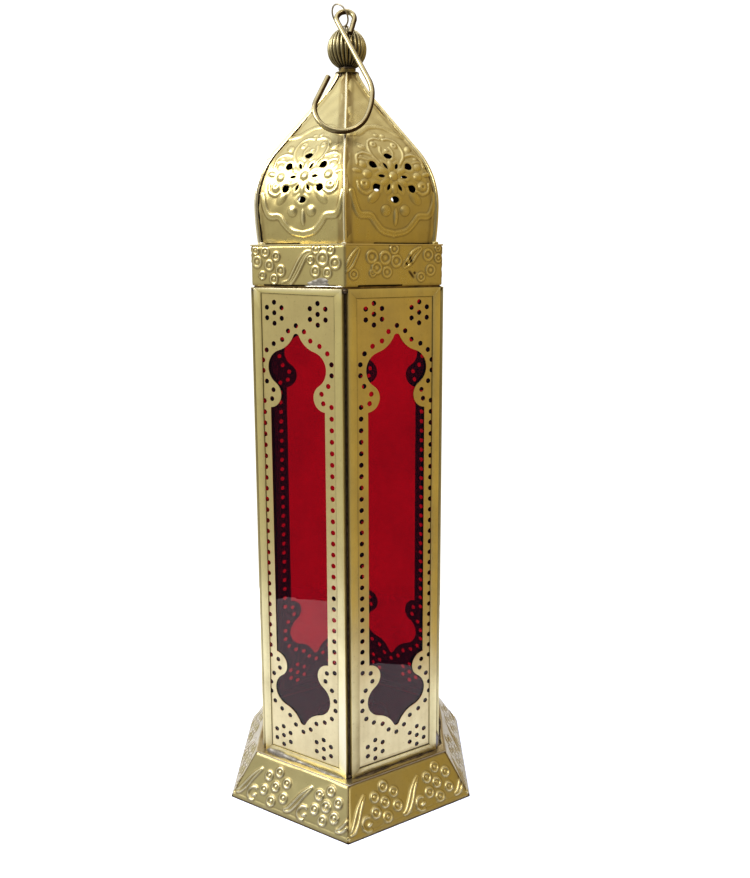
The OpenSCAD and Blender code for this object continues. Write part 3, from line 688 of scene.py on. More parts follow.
def tarnish_group():
    """Cloudy tarnish, fine stains and rolled grain on a metal sheet."""
    if SKIN_NAME in bpy.data.node_groups:
        return bpy.data.node_groups[SKIN_NAME]
    group = bpy.data.node_groups.new(SKIN_NAME, "ShaderNodeTree")
    for label, kind, value in SKIN_INPUTS:
        group.interface.new_socket(label, in_out="INPUT", socket_type=kind).default_value = value
    for label, kind in SKIN_OUTPUTS:
        group.interface.new_socket(label, in_out="OUTPUT", socket_type=kind)
    g = Tree(group)
    given, made = g.node("NodeGroupInput").outputs, g.node("NodeGroupOutput").inputs
    place = g.place()
    cloud = g.span(g.noise(place, given["Cloud Size"], 6.0, 0.6), 0.35, 0.7)
    specks = g.span(g.noise(place, 900.0, 3.0), 0.62, 0.78)
    streaks = g.noise(place, 260.0, 3.0, stretch=(1.0, 1.0, 0.05))
    streaked = g.math("SUBTRACT", streaks, 0.5)
    amount = g.add(g.times(cloud, given["Tarnish"]), given["Hollow"])
    amount = g.add(g.add(amount, g.times(specks, 0.22)), g.times(streaked, 0.22))
    share = g.span(amount, 0.0, 1.0)
    g.join(g.mix(share, given["Clean"], given["Dull"]), made["Color"])
    g.join(g.add(g.add(given["Smoothness"], g.times(share, 0.3)), g.times(streaked, 0.12)), made["Roughness"])
    dents, fine = g.noise(place, 130.0, 2.0), g.noise(place, 1500.0, 2.0)
    g.join(g.add(g.add(dents, g.times(fine, 0.12)), g.times(streaks, 0.25)), made["Height"])
    return group


# Black of sooted metal, also used as painted shade inside the lantern and as painted shadow in gaps and
# corners.
SOOT_AND_SHADE_BLACK = (0.018, 0.015, 0.012)


def side_places(t):
    """How far out from the axis and how far from the middle of its side a place is, and its height."""
    x, y, z = t.axes()
    turn = t.math("FLOORED_MODULO", t.add(t.math("ARCTAN2", y, x), HALF), 2 * HALF)
    turn = t.math("SUBTRACT", turn, HALF)
    reach = t.math("SQRT", t.add(t.times(x, x), t.times(y, y)))
    return t.times(reach, t.math("COSINE", turn)), t.math("ABSOLUTE", t.times(reach, t.math("SINE", turn))), z


def metal(name, clean, dull, tarnish, smoothness, cloud_size, bump, marks=None):
    """A tarnished metal. The marks add to its hollows and change its colour."""
    if name in bpy.data.materials:
        return bpy.data.materials[name]
    mat, shader, t = new_material(name)
    skin = t.node("ShaderNodeGroup")
    skin.node_tree = tarnish_group()
    for key, value in (("Clean", tuple(clean)), ("Dull", tuple(dull)), ("Cloud Size", cloud_size),
                       ("Tarnish", tarnish), ("Smoothness", smoothness)):
        t.join(value, skin.inputs[key])
    shown = skin.outputs["Color"]
    if marks:
        shown = marks(t, skin.inputs["Hollow"], shown)
    t.join(shown, shader.inputs["Base Color"])
    t.join(skin.outputs["Roughness"], shader.inputs["Roughness"])
    shader.inputs["Metallic"].default_value = 1.0
    t.bumps(skin.outputs["Height"], bump, 0.0006, shader)
    return mat


def worked_marks(t, hollow, shown):
    """Tarnish and painted shade, rubbed places and painted highlights, and sooted black and painted black
    shadow, from the values kept with each point.
    """
    grime = t.node("ShaderNodeAttribute", attribute_name="grime").outputs["Fac"]
    t.join(t.times(grime, 0.75), hollow)
    shown = t.mix(t.span(grime, -0.1, -0.9), shown, tuple(colours().polished_and_highlight))
    return t.mix(t.span(grime, 1.05, 1.5), shown, SOOT_AND_SHADE_BLACK)


def wire_shade_marks(t, hollow, shown):
    """Painted shade: the lower right side of a wire is coloured darker brown, as the shade on that side."""
    facing = t.axes("Normal")
    under = t.math("SUBTRACT", t.times(facing["X"], 0.8), t.times(facing["Z"], 0.6))
    t.join(t.span(under, -0.15, 0.35), hollow)
    return shown


def rim_highlight_marks(rim):
    """A painted highlight: a bright edge on a plate whose sides are as far from the axis as rim says."""
    def marks(t, hollow, shown):
        edge = t.span(side_places(t)[0], (rim - 0.7) * MM, (rim - 0.3) * MM, 0.0, 0.25)
        return t.mix(edge, shown, tuple(colours().polished_and_highlight))
    return marks


# The sooty black on the floor plate, which also paints the shade inside the lantern, ends this far inside the
# windows.
SOOT_AND_SHADE_END = 4.0
# The floor plate gets darker towards the back, from and to these places.
BACK_FROM, BACK_TO = -36, -31


def ledge_marks(t, hollow, shown):
    """The floor plate has a painted highlight along its rim, is darker towards the back and along its front
    right rim, and is black inside the lantern, as sooted by the candle and as painted shade.
    """
    shown = rim_highlight_marks(DECK_A)(t, hollow, shown)
    x, y, _ = t.axes()
    out = side_places(t)[0]
    right = t.times(t.span(x, -1 * MM, 2 * MM), t.span(out, (DECK_A - 1.2) * MM, (DECK_A - 0.6) * MM))
    t.join(t.most(t.span(y, BACK_FROM * MM, BACK_TO * MM, 0.1, 0.6), right), hollow)
    soot_and_shade_edge = WINDOW_A - SOOT_AND_SHADE_END
    return t.mix(t.span(out, (soot_and_shade_edge - 1.0) * MM, soot_and_shade_edge * MM, 1.0, 0.0), shown, SOOT_AND_SHADE_BLACK)


def top_lip(i):
    """Width of the top lip at its left and right end, in metres. One channel was folded askew."""
    lip = sizes().lip_width
    return (lip - 2.0 * MM, lip - 0.9 * MM) if i == FRONT_LEFT else (lip, lip)


def window_marks(i):
    """Painted shade on the fret along the lip that covers its edge, and a painted black shadow in the lip's
    corner. The fret's back is black, as sooted by the candle and as painted shade inside the lantern. All is
    worked out from the place round the six sides."""
    def marks(t, hollow, shown):
        out, across, z = side_places(t)
        lip, edge = sizes().lip_width, FRAME_W / 2 * MM
        left, right = top_lip(i)
        along = t.along("Object", (math.cos(side_turn(i)), math.sin(side_turn(i)), 0.0))
        top = t.span(along, -edge, edge, CROWN_Z * MM - left, CROWN_Z * MM - right)
        under_top = t.math("SUBTRACT", z, top)

        def lip_shadow(wide):
            low = DECK_Z * MM + lip
            foot = wide * (2.2 if i == FRONT_RIGHT else 1.2)
            return t.most(t.span(across, edge - lip - wide, edge - lip + 0.05 * MM),
                          t.most(t.span(z, low + foot, low - 0.05 * MM), t.span(under_top, -wide, 0.05 * MM)))

        # The lip's painted shade on the fret, with painted black shadow in the lip's corner, and the fret's
        # back black as sooted metal and painted shade.
        t.join(t.times(lip_shadow(1.0 * MM), 0.35), hollow)
        back = t.span(out, (WINDOW_A - FRAME_T - 0.32) * MM, (WINDOW_A - FRAME_T - 0.14) * MM, 1.0, 0.0)
        return t.mix(t.most(back, t.span(lip_shadow(0.6 * MM), 0.4, 0.8, 0.0, 0.9)), shown, SOOT_AND_SHADE_BLACK)
    return marks


# Metals as (bright colour, dull colour, tarnish, roughness, cloud size, bumps, marks). A word names a colour
# that the user may change.
METALS = {
    "embossed_brass": ("sheet", "dull", 0.24, 0.27, 38.0, 0.10, worked_marks),
    "pale_rolled_brass": ("pale", "dull", 0.22, 0.28, 42.0, 0.10, worked_marks),
    "folded_channel_brass": ("channel", "dull", 0.2, 0.3, 42.0, 0.10, worked_marks),
    "fluted_ball_brass": ("ball", (0.09, 0.065, 0.035), 0.5, 0.32, 240.0, 0.25, worked_marks),
    "drawn_brass_wire": ("wire", (0.09, 0.055, 0.028), 0.35, 0.2, 160.0, 0.12, wire_shade_marks),
    "cap_plate_brass": ("pale", "dull", 0.3, 0.33, 60.0, 0.14, rim_highlight_marks(CAP_A)),
    "dark_old_brass": ("old", (0.06, 0.045, 0.03), 0.75, 0.36, 240.0, 0.3, None),
    "worked_brass": ("sheet", "dull", 0.3, 0.26, 120.0, 0.1, None),
    "thin_loop_wire": ((0.56, 0.50, 0.38), (0.12, 0.09, 0.06), 0.6, 0.3, 260.0, 0.15, None),
    "sooty_cup_brass": ((0.10, 0.075, 0.05), SOOT_AND_SHADE_BLACK, 0.6, 0.4, 90.0, 0.2, None),
    "grey_solder": ("solder", (0.24, 0.22, 0.18), 0.8, 0.5, 320.0, 0.35, None),
    "dark_solder": ((0.18, 0.14, 0.10), (0.03, 0.022, 0.015), 0.9, 0.45, 300.0, 0.5, None),
    "bright_solder": ((0.85, 0.83, 0.74), (0.4, 0.36, 0.26), 0.4, 0.3, 400.0, 0.35, None),
}
# How much darker the skirt sheets are than the embossed brass; how much greyer or yellower each sheet is, which
# paints the light that its face reflects; and the painted shade along its top.
SKIRT_SHADE = 0.88
SKIRT_LIGHT_TONES = [(1.0, 1.0, 0.935)] + 4 * [(1.0, 1.0, 1.0)] + [(0.90, 0.925, 1.0)]
SKIRT_TOP_SHADE = [1.1, 0.8, 0.8, 0.8, 0.8, 0.5]
# The collar is painted dark, as the shade under the ball.
COLLAR_PAINTED_SHADE = 0.32
# Solder has run over the floor plate's ledge, so it is greyer than the rest.
LEDGE_GREY, LEDGE_SHARE = (0.60, 0.57, 0.46), 0.65


def plain_metal(name):
    clean, dull = (getattr(colours(), c) if isinstance(c, str) else c for c in METALS[name][:2])
    return metal(name, clean, dull, *METALS[name][2:])


# Each skirt sheet has its own copy of the brass, tinted to paint the light that its face reflects.
def skirt_brass(i):
    clean = [SKIRT_SHADE * c * light_tone for c, light_tone in zip(colours().sheet, SKIRT_LIGHT_TONES[i - 1])]
    return metal("embossed_skirt_brass_%d" % i, clean, colours().dull, 0.24, 0.29, 38.0, 0.10, worked_marks)


def fret_brass(i):
    name = "punched_brass_%d" % i
    return metal(name, colours().pale, colours().dull, 0.22, 0.3, 60.0, 0.14, window_marks(i))


def ledge_brass():
    clean = [(1 - LEDGE_SHARE) * a + LEDGE_SHARE * b for a, b in zip(colours().pale, LEDGE_GREY)]
    return metal("floor_plate_brass", clean, colours().dull, 0.3, 0.33, 60.0, 0.14, ledge_marks)


# Painted shade: the collar's brass is made dark, as it lies in the shade under the ball.
def collar_brass():
    clean = [COLLAR_PAINTED_SHADE * c for c in colours().sheet]
    return metal("spun_collar_brass", clean, colours().dull, 1.0, 0.34, 200.0, 0.2)


# The glass is a little deeper in clouds.
GLASS_DEEP = 0.82


def red_glass():
    mat, shader, t = new_material("red_window_glass")
    place = t.place()
    deep = tuple(GLASS_DEEP * c for c in colours().glass)
    clouds = t.span(t.noise(place, 28.0, 3.0), 0.3, 0.7)
    t.join(t.mix(clouds, tuple(colours().glass), deep), shader.inputs["Base Color"])
    shader.inputs["Roughness"].default_value = 0.0
    shader.inputs["Transmission Weight"].default_value = 1.0
    shader.inputs["IOR"].default_value = 1.45
    shader.inputs["Specular IOR Level"].default_value = 0.14
    t.bumps(t.noise(place, 60.0, 2.0), 0.08, 0.0008, shader)
    return mat


def dress_nodes(names, material):
    for name in names:
        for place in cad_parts[name].material_slots:
            place.material = material


# Operators


# The hem folded at the skirt's lower edge, and how far the edge of an embossed sheet falls back.
HEM_UP, HEM_DEPTH, EDGE_FALL = 2.9, 0.09, 0.3


class LANTERN_OT_skirt(bpy.types.Operator):
    """Bends and embosses the six sheets of the leaning skirt"""

    bl_idname = "lantern.skirt"
    bl_label = "Embossed skirt"

    def execute(self, context):
        lean = math.atan2(FOOT_A - DECK_A, SKIRT_Z)
        slope = SKIRT_Z / math.cos(lean)
        foot_side = FOOT_A / math.cos(HALF)
        for i in SIDE_NUMBERS:
            obj, cells, across, h = sheet_grid("embossed_skirt_%d" % i, foot_side, slope)
            half_w = (foot_side + (DECK_SIDE - foot_side) * h / slope) / 2 - SLIT
            s = across * half_w
            relief = skirt_relief(s, h, 10 + i) * SKIRT_STRUCK[i - 1]
            waves = sizes().dent / MM * unevenness(s, h, 40 + i, 40)
            side = half_w - np.abs(s)
            edge = np.clip(np.minimum(np.minimum(h, slope - h), side) / 1.5, 0, 1)
            n = (relief + waves - HEM_DEPTH * hill(h - HEM_UP, 0.35)) * edge - EDGE_FALL * (1 - edge) ** 2
            z = h * math.cos(lean) + n * math.sin(lean)
            bend_sheet(obj, i, s, FOOT_A - h * math.sin(lean) + n * math.cos(lean), np.maximum(z, 0))
            # Darker at the joints between sheets, with a dark line along each sheet's right edge. Painted shade
            # darkens the hem's crease, the foot where the skirt meets the floor, and the top; the hollows carry
            # tarnish and painted shade.
            rim = 0.5 * hill(side, 0.8) + 0.25 * hill(h - HEM_UP, 0.4) + 1.3 * hill(half_w - s, 0.3)
            rim += 2.0 * hill(h, 0.75) + SKIRT_TOP_SHADE[i - 1] * hill(slope - h, 0.8)
            store_grime_and_shade(obj.data, hollows(relief, cells) * 0.6 + rim)
            thicken(obj, SHEET_T)
            flat = mesh_points(obj.data) / MM
            flat[:, 2] = np.clip(flat[:, 2], 0, SKIRT_Z)
            set_points(obj.data, flat)
            finish_sheet(obj, "skirt_panel_%d" % i, skirt_brass(i))
        return {"FINISHED"}


# Which of the two patterns each sheet of the band has.
BAND_KINDS = [1, 0, 1, 0, 1, 0]
GOUGE_DEPTH = 0.3
# The flat place for the turn button's rivet: its height and its radius.
RIVET_UP, RIVET_FLAT = 4.5, 3.5


class LANTERN_OT_band(bpy.types.Operator):
    """Embosses the six sheets of the band"""

    bl_idname = "lantern.band"
    bl_label = "Embossed band"

    def execute(self, context):
        half_w = BAND_A / math.cos(HALF) / 2
        height = BAND_TOP - BAND_Z
        for i, kind in zip(SIDE_NUMBERS, BAND_KINDS):
            obj, cells, across, h = sheet_grid("embossed_band_%d" % i, 2 * half_w, height)
            s = across * (half_w - SLIT)
            relief = band_relief(s, h, 70 + i, kind) * BAND_STRUCK[i - 1]
            waves = sizes().dent / MM * unevenness(s, h, 90 + i, 36)
            gouge = np.zeros(len(s))
            for line in BAND_GOUGES if kind else ():
                gouge = np.maximum(gouge, ridge(s, h, line, 0.85, 1.0))
            side = half_w - np.abs(s)
            edge = np.clip(np.minimum(np.minimum(h, height - h), side) / 1.2, 0, 1)
            rivet = np.hypot(s, h - RIVET_UP) - RIVET_FLAT
            if i == DOOR_SIDE:
                edge = edge * np.clip(rivet / 2, 0, 1)
            n = (relief * 0.9 + waves) * edge - EDGE_FALL * (1 - edge) ** 2 - GOUGE_DEPTH * gouge
            if i == DOOR_SIDE:
                n = np.where(rivet < 0, 0, n)
            bend_sheet(obj, i, s, BAND_A + n, BAND_Z + h)
            # Painted shadow: a black line along part of the band's foot stands for the shaded gap there, and
            # painted shade darkens the foot. The sides are darker at the joints, the hollows carry tarnish and
            # painted shade, and the gouges are filled black.
            gap = 1.6 * (h < 0.45) * (s < (4 if i == FRONT_RIGHT else 22)) * (s > -20)
            grime = hollows(relief, cells) * 0.7 + 0.5 * hill(side, 0.7) + 0.35 * hill(h, 0.9)
            store_grime_and_shade(obj.data, grime + gap + 1.3 * np.clip(gouge * 2 - 0.6, 0, 1))
            thicken(obj, SHEET_T, inner_soot_and_shade=True)
            finish_sheet(obj, "band_panel_%d" % i, plain_metal("embossed_brass"))
        return {"FINISHED"}


def pierce(obj, x, y):
    """Takes out the cells inside the flower's holes and draws the cells at the edge onto the holes' outline.
    The places are from the flower's middle."""
    e = 0.02
    slope = np.stack([flower_distance(x + e, y) - flower_distance(x - e, y),
                      flower_distance(x, y + e) - flower_distance(x, y - e)])
    slope /= np.maximum(np.hypot(*slope), 1e-9)
    mesh = obj.data
    corners = np.empty(len(mesh.polygons) * 4, int)
    mesh.polygons.foreach_get("vertices", corners)
    corners = corners.reshape(-1, 4)
    inside = flower_distance(x[corners].mean(1), y[corners].mean(1)) < 0
    kept, lost = np.zeros(len(x), bool), np.zeros(len(x), bool)
    kept[corners[~inside].ravel()] = True
    lost[corners[inside].ravel()] = True
    move = np.where(kept & lost, flower_distance(x, y), 0.0) * slope
    bm = bmesh.new()
    bm.from_mesh(mesh)
    bm.faces.ensure_lookup_table()
    bmesh.ops.delete(bm, geom=[bm.faces[k] for k in np.nonzero(inside)[0]], context="FACES_ONLY")
    bm.to_mesh(mesh)
    bm.free()
    return x - move[0], y - move[1]


def drop_loose(obj):
    """Takes out the points that no face uses."""
    bm = bmesh.new()
    bm.from_mesh(obj.data)
    bmesh.ops.delete(bm, geom=[v for v in bm.verts if not v.link_faces], context="VERTS")
    bm.to_mesh(obj.data)
    bm.free()


GORE_W = 52.0
# The straight roof is wavier than the belly from here up, and the whole dome has fine dents.
ROOF_FROM, ROOF_FADE, FINE_DENT = 62, 10, 0.09


class LANTERN_OT_dome(bpy.types.Operator):
    """Bends, embosses and pierces the six gores of the dome"""

    bl_idname = "lantern.dome"
    bl_label = "Pierced dome"

    def execute(self, context):
        for i in SIDE_NUMBERS:
            obj, cells, across, t = sheet_grid("pierced_gore_%d" % i, GORE_W, OUTLINE_L)
            shift = FLOWER_SHIFT[i - 1]
            half_w = dome_outline(t)[0] * math.tan(HALF) - SLIT
            x, y = pierce(obj, across * half_w - shift, t - FLOWER_T)
            s, t = x + shift, y + FLOWER_T
            a, z, lean = dome_outline(t)
            side = a * math.tan(HALF) - SLIT - np.abs(s)
            relief = dome_relief(x, y, 110 + i, DOME_STRUCK[i - 1])
            edge = np.clip(np.minimum(np.minimum(t, OUTLINE_L - t) / 2.0, side / 2.2), 0, 1)
            roof = np.clip((t - ROOF_FROM) / ROOF_FADE, 0, 1)
            waves = sizes().dent / MM * (1 + 1.2 * roof) * unevenness(s, t, 130 + i, 46)
            n = (relief + waves + FINE_DENT * unevenness(s, t, 170 + i, 13)) * edge
            bend_sheet(obj, i, s, a + n * np.cos(lean), z + n * np.sin(lean))
            # Painted shade beside the seams' flanges, along the foot and under the ball, and a broken black
            # line at the foot painted as the shaded gap above the cap. The hollows carry tarnish and painted
            # shade.
            rim = 0.45 * hill(side - 3.4, 0.9) + 0.4 * hill(t, 1.2) + 0.5 * hill(OUTLINE_L - t, 4.0)
            gap = 1.6 * (t < 0.7) * (np.sin(0.11 * s + 0.6 * i) > -0.4)
            store_grime_and_shade(obj.data, hollows(relief, cells) * 0.6 + rim + gap)
            thicken(obj, SHEET_T, inner_soot_and_shade=True)
            drop_loose(obj)
            finish_sheet(obj, "dome_gore_%d" % i, plain_metal("embossed_brass"))
        return {"FINISHED"}


SEAM_ROWS, BEAD_HIGH = 150, 0.95


class LANTERN_OT_seams(bpy.types.Operator):
    """Lays the rounded beads and flanges over the seams of the dome"""

    bl_idname = "lantern.seams"
    bl_label = "Dome seams"

    def execute(self, context):
        for i in SIDE_NUMBERS:
            self.seam(i)
        return {"FINISHED"}

    @staticmethod
    def seam(i):
        # The front seam is narrow with broad flanges. The others have a broad bead and a painted black shadow
        # line beside it.
        front = i == FRONT_CORNER
        bead = sizes().bead_width / MM / 2 * (0.8 if front else 1.0)
        flange = sizes().flange_width / MM * (1.0 if front else 0.5)
        gap = min(0.75, 0.6 * flange)
        # Across the seam, as (distance from the middle line, height over the corner).
        half = [(bead + flange, 0.06), (bead + gap, 0.1), (bead + 0.12, 0.1)]
        arc = [(bead * math.cos(math.pi * k / 8), BEAD_HIGH * math.sin(math.pi * k / 8)) for k in range(9)]
        shape = np.array([(-x, y) for x, y in half] + arc[::-1] + half[::-1])
        last = len(shape) - 1
        obj = add_piece("seam_bead_%d" % i, bpy.ops.mesh.primitive_grid_add,
                        x_subdivisions=last, y_subdivisions=SEAM_ROWS, size=2)
        co = mesh_points(obj.data)
        t = (co[:, 1] + 1) / 2 * OUTLINE_L
        column = np.rint((co[:, 0] + 1) / 2 * last).astype(int)
        x, high = shape[column].T
        a, z, lean = dome_outline(t)
        narrow = np.clip((a * math.tan(HALF)) / (bead + flange + 1.0), 0.25, 1)
        wave = 0.07 * np.sin(t * 0.25 + i) + 0.025 * np.sin(t * 1.3 + 2 * i)
        x = x * narrow + wave * np.clip(t / 4, 0, 1)
        # The flanges lie on the two gores, so they fall back from the corner by half of its angle.
        in_bead = np.abs(x) <= bead * narrow * 1.02
        drop = np.abs(x) * np.where(in_bead, 0.25, math.tan(HALF))
        up = high - drop * np.cos(lean)
        corner_lean = np.arctan(np.tan(lean) / math.cos(HALF))
        pts = np.stack([x, -(a / math.cos(HALF) + up * np.cos(corner_lean)), z + up * np.sin(corner_lean)], 1)
        pts[:, 2] = np.clip(pts[:, 2], DOME_Z, NECK_Z)
        set_points(obj.data, turned(pts, corner_turn(i)))
        # The line beside the bead is painted dark as the shadow at the flange's edge: tarnish-dark at the front
        # seam, black at the left corner and broken black elsewhere, lighter at the right corner. The bead is
        # rubbed bright and also painted brighter as a highlight, less so at the right corner; painted shade
        # darkens the seam's top under the ball.
        if front:
            black = 0.7
        elif i == LEFT_CORNER:
            black = SOOT_AND_SHADOW
        else:
            black = np.clip(1.25 + 0.75 * np.sin(t * 0.13 + 1.7 * i) + 0.3 * np.sin(t * 0.5 + i), 0.3, SOOT_AND_SHADOW)
            black = black * (0.65 if i == RIGHT_CORNER else 1.0)
        flank = (0.55 if front else 0.35) + 0.2 * np.sin(0.2 * t + i)
        rubbed = -0.2 if i == RIGHT_CORNER else -0.85
        dirt_and_shade = np.where(np.isin(column, (1, 2, last - 2, last - 1)), black, np.where(in_bead, rubbed, flank))
        store_grime_and_shade(obj.data, dirt_and_shade + 0.4 * hill(OUTLINE_L - t, 4.0))
        thicken(obj, SEAM_T)
        finish_piece(obj, "lantern", ["dome_rib_%d" % i], plain_metal("pale_rolled_brass"), 60)


BACK_LIP, MITRE_SLIT, FOLD_R, LONGEST = 3.0, 0.09, 0.16, 9
HALVINGS = 5
NEAR = 1e-6


class LANTERN_OT_channels(bpy.types.Operator):
    """Folds the sheet channels round the six windows"""

    bl_idname = "lantern.channels"
    bl_label = "Window channels"

    def execute(self, context):
        for i in SIDE_NUMBERS:
            if i == DOOR_SIDE:
                self.channel(i, DOOR_LOW, DOOR_HIGH, "door")
            else:
                self.channel(i, DECK_Z, CROWN_Z, "lantern")
        return {"FINISHED"}

    @classmethod
    def channel(cls, i, low, high, body):
        lip_w = sizes().lip_width / MM
        half_w, half_h = FRAME_W / 2, (high - low) / 2
        middle = (0, -(WINDOW_A - FRAME_D / 2) * MM, (low + half_h) * MM)
        obj = add_piece("window_channel_%d" % i, bpy.ops.mesh.primitive_cube_add, size=1, location=middle)
        obj.scale = (FRAME_W * MM, FRAME_D * MM, 2 * half_h * MM)
        bpy.ops.object.transform_apply(location=True, rotation=True, scale=True)
        cls.open_side(obj, -1, lip_w)
        cls.open_side(obj, 1, BACK_LIP)
        cls.split_mitres(obj)
        cls.subdivide_long(obj)
        pts = mesh_points(obj.data) / MM
        lip = np.abs(pts[:, 1] + WINDOW_A) < 0.01
        inner = lip & (np.abs(pts[:, 0]) < half_w - 1)
        top = inner & (np.abs(high - pts[:, 2] - lip_w) < 0.3)
        left, right = (lip_w - w / MM for w in top_lip(i))
        pts[top, 2] += (left + (right - left) * (pts[:, 0] / FRAME_W + 0.5))[top]
        wave = 0.10 * unevenness(pts[:, 0] + 7 * i, pts[:, 2], 150 + i, 60)
        pts[inner, 1] += 0.06 + np.abs(wave[inner])
        pts[inner, 0] += np.sign(pts[inner, 0]) * wave[inner] * 0.8
        # Tarnish in the lip's corners, and painted shade along its inner edge. The front left channel's top is
        # rubbed.
        in_x = half_w - np.abs(pts[:, 0])
        in_z = half_h - np.abs(pts[:, 2] - low - half_h)
        corner = np.hypot(np.maximum(in_x - 4, 0), np.maximum(in_z - 4, 0))
        grime = np.where(lip, 0.08 * (np.minimum(in_x, in_z) > lip_w - 0.5) + 0.2 * hill(corner, 4), 0.0)
        # Near the front corner the left channel's low end is rubbed and the right one's is stained.
        low_end = lip * np.clip((110 - pts[:, 2]) / 60, 0, 1)
        if i == FRONT_LEFT:
            grime -= 0.9 * lip * (in_z < 0.3) * (pts[:, 2] > low + half_h)
            grime -= 0.5 * low_end * (pts[:, 0] > half_w - 6)
        if i == FRONT_RIGHT:
            grime += 0.3 * low_end * (pts[:, 0] < 6 - half_w)
        # Painted shade: the channel's side walls get darker with depth, as the shade inside the channel and in
        # the gap between channels.
        depth = pts[:, 1] + WINDOW_A
        wall_shade = 0.6 * np.clip(depth / 0.6, 0, 1) + 0.8 * np.clip((depth - 1.3) / 1.2, 0, 1)
        store_grime_and_shade(obj.data, wall_shade + grime)
        set_points(obj.data, turned(pts, side_turn(i)))
        thicken(obj, FRAME_T)
        apply_modifier(obj, "BEVEL", "fold", width=FOLD_R * MM, segments=2, limit_method="ANGLE",
                       angle_limit=math.radians(50))
        material = plain_metal("folded_channel_brass")
        finish_piece(obj, body, ["window_frame_%d" % i], material, 40)

    @staticmethod
    def open_side(obj, sign, width):
        """Insets the front or back of the box by the lip's width and takes out what is inside."""
        select_where(obj, "FACE", lambda face: face.normal.y * sign > 0.9)
        bpy.ops.mesh.inset(thickness=width * MM, depth=0)
        bpy.ops.mesh.delete(type="FACE")
        bpy.ops.object.mode_set(mode="OBJECT")

    @staticmethod
    def split_mitres(obj):
        """Opens a fine slit along each mitre of the front lip."""
        front = min(v.co.y for v in obj.data.vertices)

        def mitre(edge):
            gap = edge_span(edge)
            in_front = all(abs(v.co.y - front) < NEAR for v in edge.verts)
            return in_front and abs(abs(gap.x) - abs(gap.z)) < NEAR and abs(gap.x) > 10 * NEAR

        select_where(obj, "EDGE", mitre)
        bpy.ops.mesh.bevel(offset=MITRE_SLIT * MM, segments=1, affect="EDGES")
        bpy.ops.mesh.select_mode(type="FACE")
        bpy.ops.mesh.delete(type="FACE")
        bpy.ops.object.mode_set(mode="OBJECT")

    @staticmethod
    def subdivide_long(obj):
        """Cuts the long lips into short stretches, so that they can wave."""
        def long_and_straight(edge):
            gap = edge_span(edge)
            return gap.length > LONGEST * MM and max(abs(gap.x), abs(gap.z)) > 0.99 * gap.length

        for _ in range(HALVINGS):
            if select_where(obj, "EDGE", long_and_straight):
                bpy.ops.mesh.subdivide(number_cuts=1)
            bpy.ops.object.mode_set(mode="OBJECT")


FLUTES, FLUTE_DEPTH, BALL_DENT = 26, 1.0, 0.12


class LANTERN_OT_ball(bpy.types.Operator):
    """Turns a sphere into the fluted ball"""

    bl_idname = "lantern.ball"
    bl_label = "Fluted ball"

    def execute(self, context):
        obj = add_piece("fluted_ball_skin", bpy.ops.mesh.primitive_uv_sphere_add,
                        segments=FLUTES * 8, ring_count=64, radius=BALL_R * MM)
        pts = mesh_points(obj.data) / MM
        x, y, z = pts.T
        angle = np.arctan2(y, x)
        polar = np.arctan2(np.hypot(x, y), z)
        # Round lobes that meet in sharp grooves, and a shallow dent or two.
        lobe = np.abs(np.sin(angle * FLUTES / 2))
        deep = FLUTE_DEPTH * np.sin(polar) ** 0.5 * (1 - lobe ** 0.7)
        dents = BALL_DENT * (1 + np.sin(2 * angle + 3 * z / BALL_R))
        share = (BALL_R - deep - dents) / BALL_R
        set_points(obj.data, pts * share[:, None] + (0, 0, (BALL_LOW + BALL_TOP) / 2))
        # Tarnish and painted shade in the grooves, lobe crests rubbed lighter, and painted shade over the lower
        # half.
        store_grime_and_shade(obj.data, 1.35 * (1 - lobe) ** 1.4 - 0.3 + 1.1 * np.clip(-z / BALL_R - 0.1, 0, 1))
        finish_piece(obj, "lantern", ["fluted_ball"], plain_metal("fluted_ball_brass"), 60)
        return {"FINISHED"}


def lumpy(points, seed, size, amount):
    """Moves points out and in along slow noise, for solder."""
    shift = Vector((seed, 2 * seed, 0))
    return points + amount * np.array([noise.noise_vector(Vector(p) / size + shift) for p in points])


# Drops of solder as (name, turn about the axis, place, radii, seed, metal). The places and the radii are
# sideways, outwards and up.
LEFT_TURN, RIGHT_TURN = side_turn(FRONT_LEFT), side_turn(FRONT_RIGHT)
DROPS = (
    ("band_solder_1", LEFT_TURN, (12.2, BAND_A + 0.05, BAND_Z + 1.2), (6.4, 0.35, 1.2), 261, "grey_solder"),
    ("band_solder_2", LEFT_TURN, (14.0, BAND_A + 0.05, BAND_Z + 2.6), (3.6, 0.35, 1.5), 270, "grey_solder"),
    ("band_solder_3", LEFT_TURN, (10.8, BAND_A + 0.05, BAND_Z + 2.2), (2.6, 0.35, 0.9), 279, "grey_solder"),
    ("corner_smear_2", corner_turn(RIGHT_CORNER), (0, CORNER_R - 1.6, DECK_Z + 4.2), (1.5, 1.2, 5.2), 258,
     "grey_solder"),
    ("rim_solder_left", LEFT_TURN, (-21.5, BAND_A - 1.4, DOME_Z + 0.4), (2.0, 1.2, 0.8), 262,
     "bright_solder"),
    ("rim_solder_middle", LEFT_TURN, (26.3, BAND_A - 0.9, BAND_TOP + 0.4), (1.6, 1.1, 1.0), 263,
     "bright_solder"),
    ("rim_solder_right", RIGHT_TURN, (24.0, BAND_A - 1.6, DOME_Z + 0.4), (1.8, 1.2, 1.0), 264,
     "embossed_brass"),
)
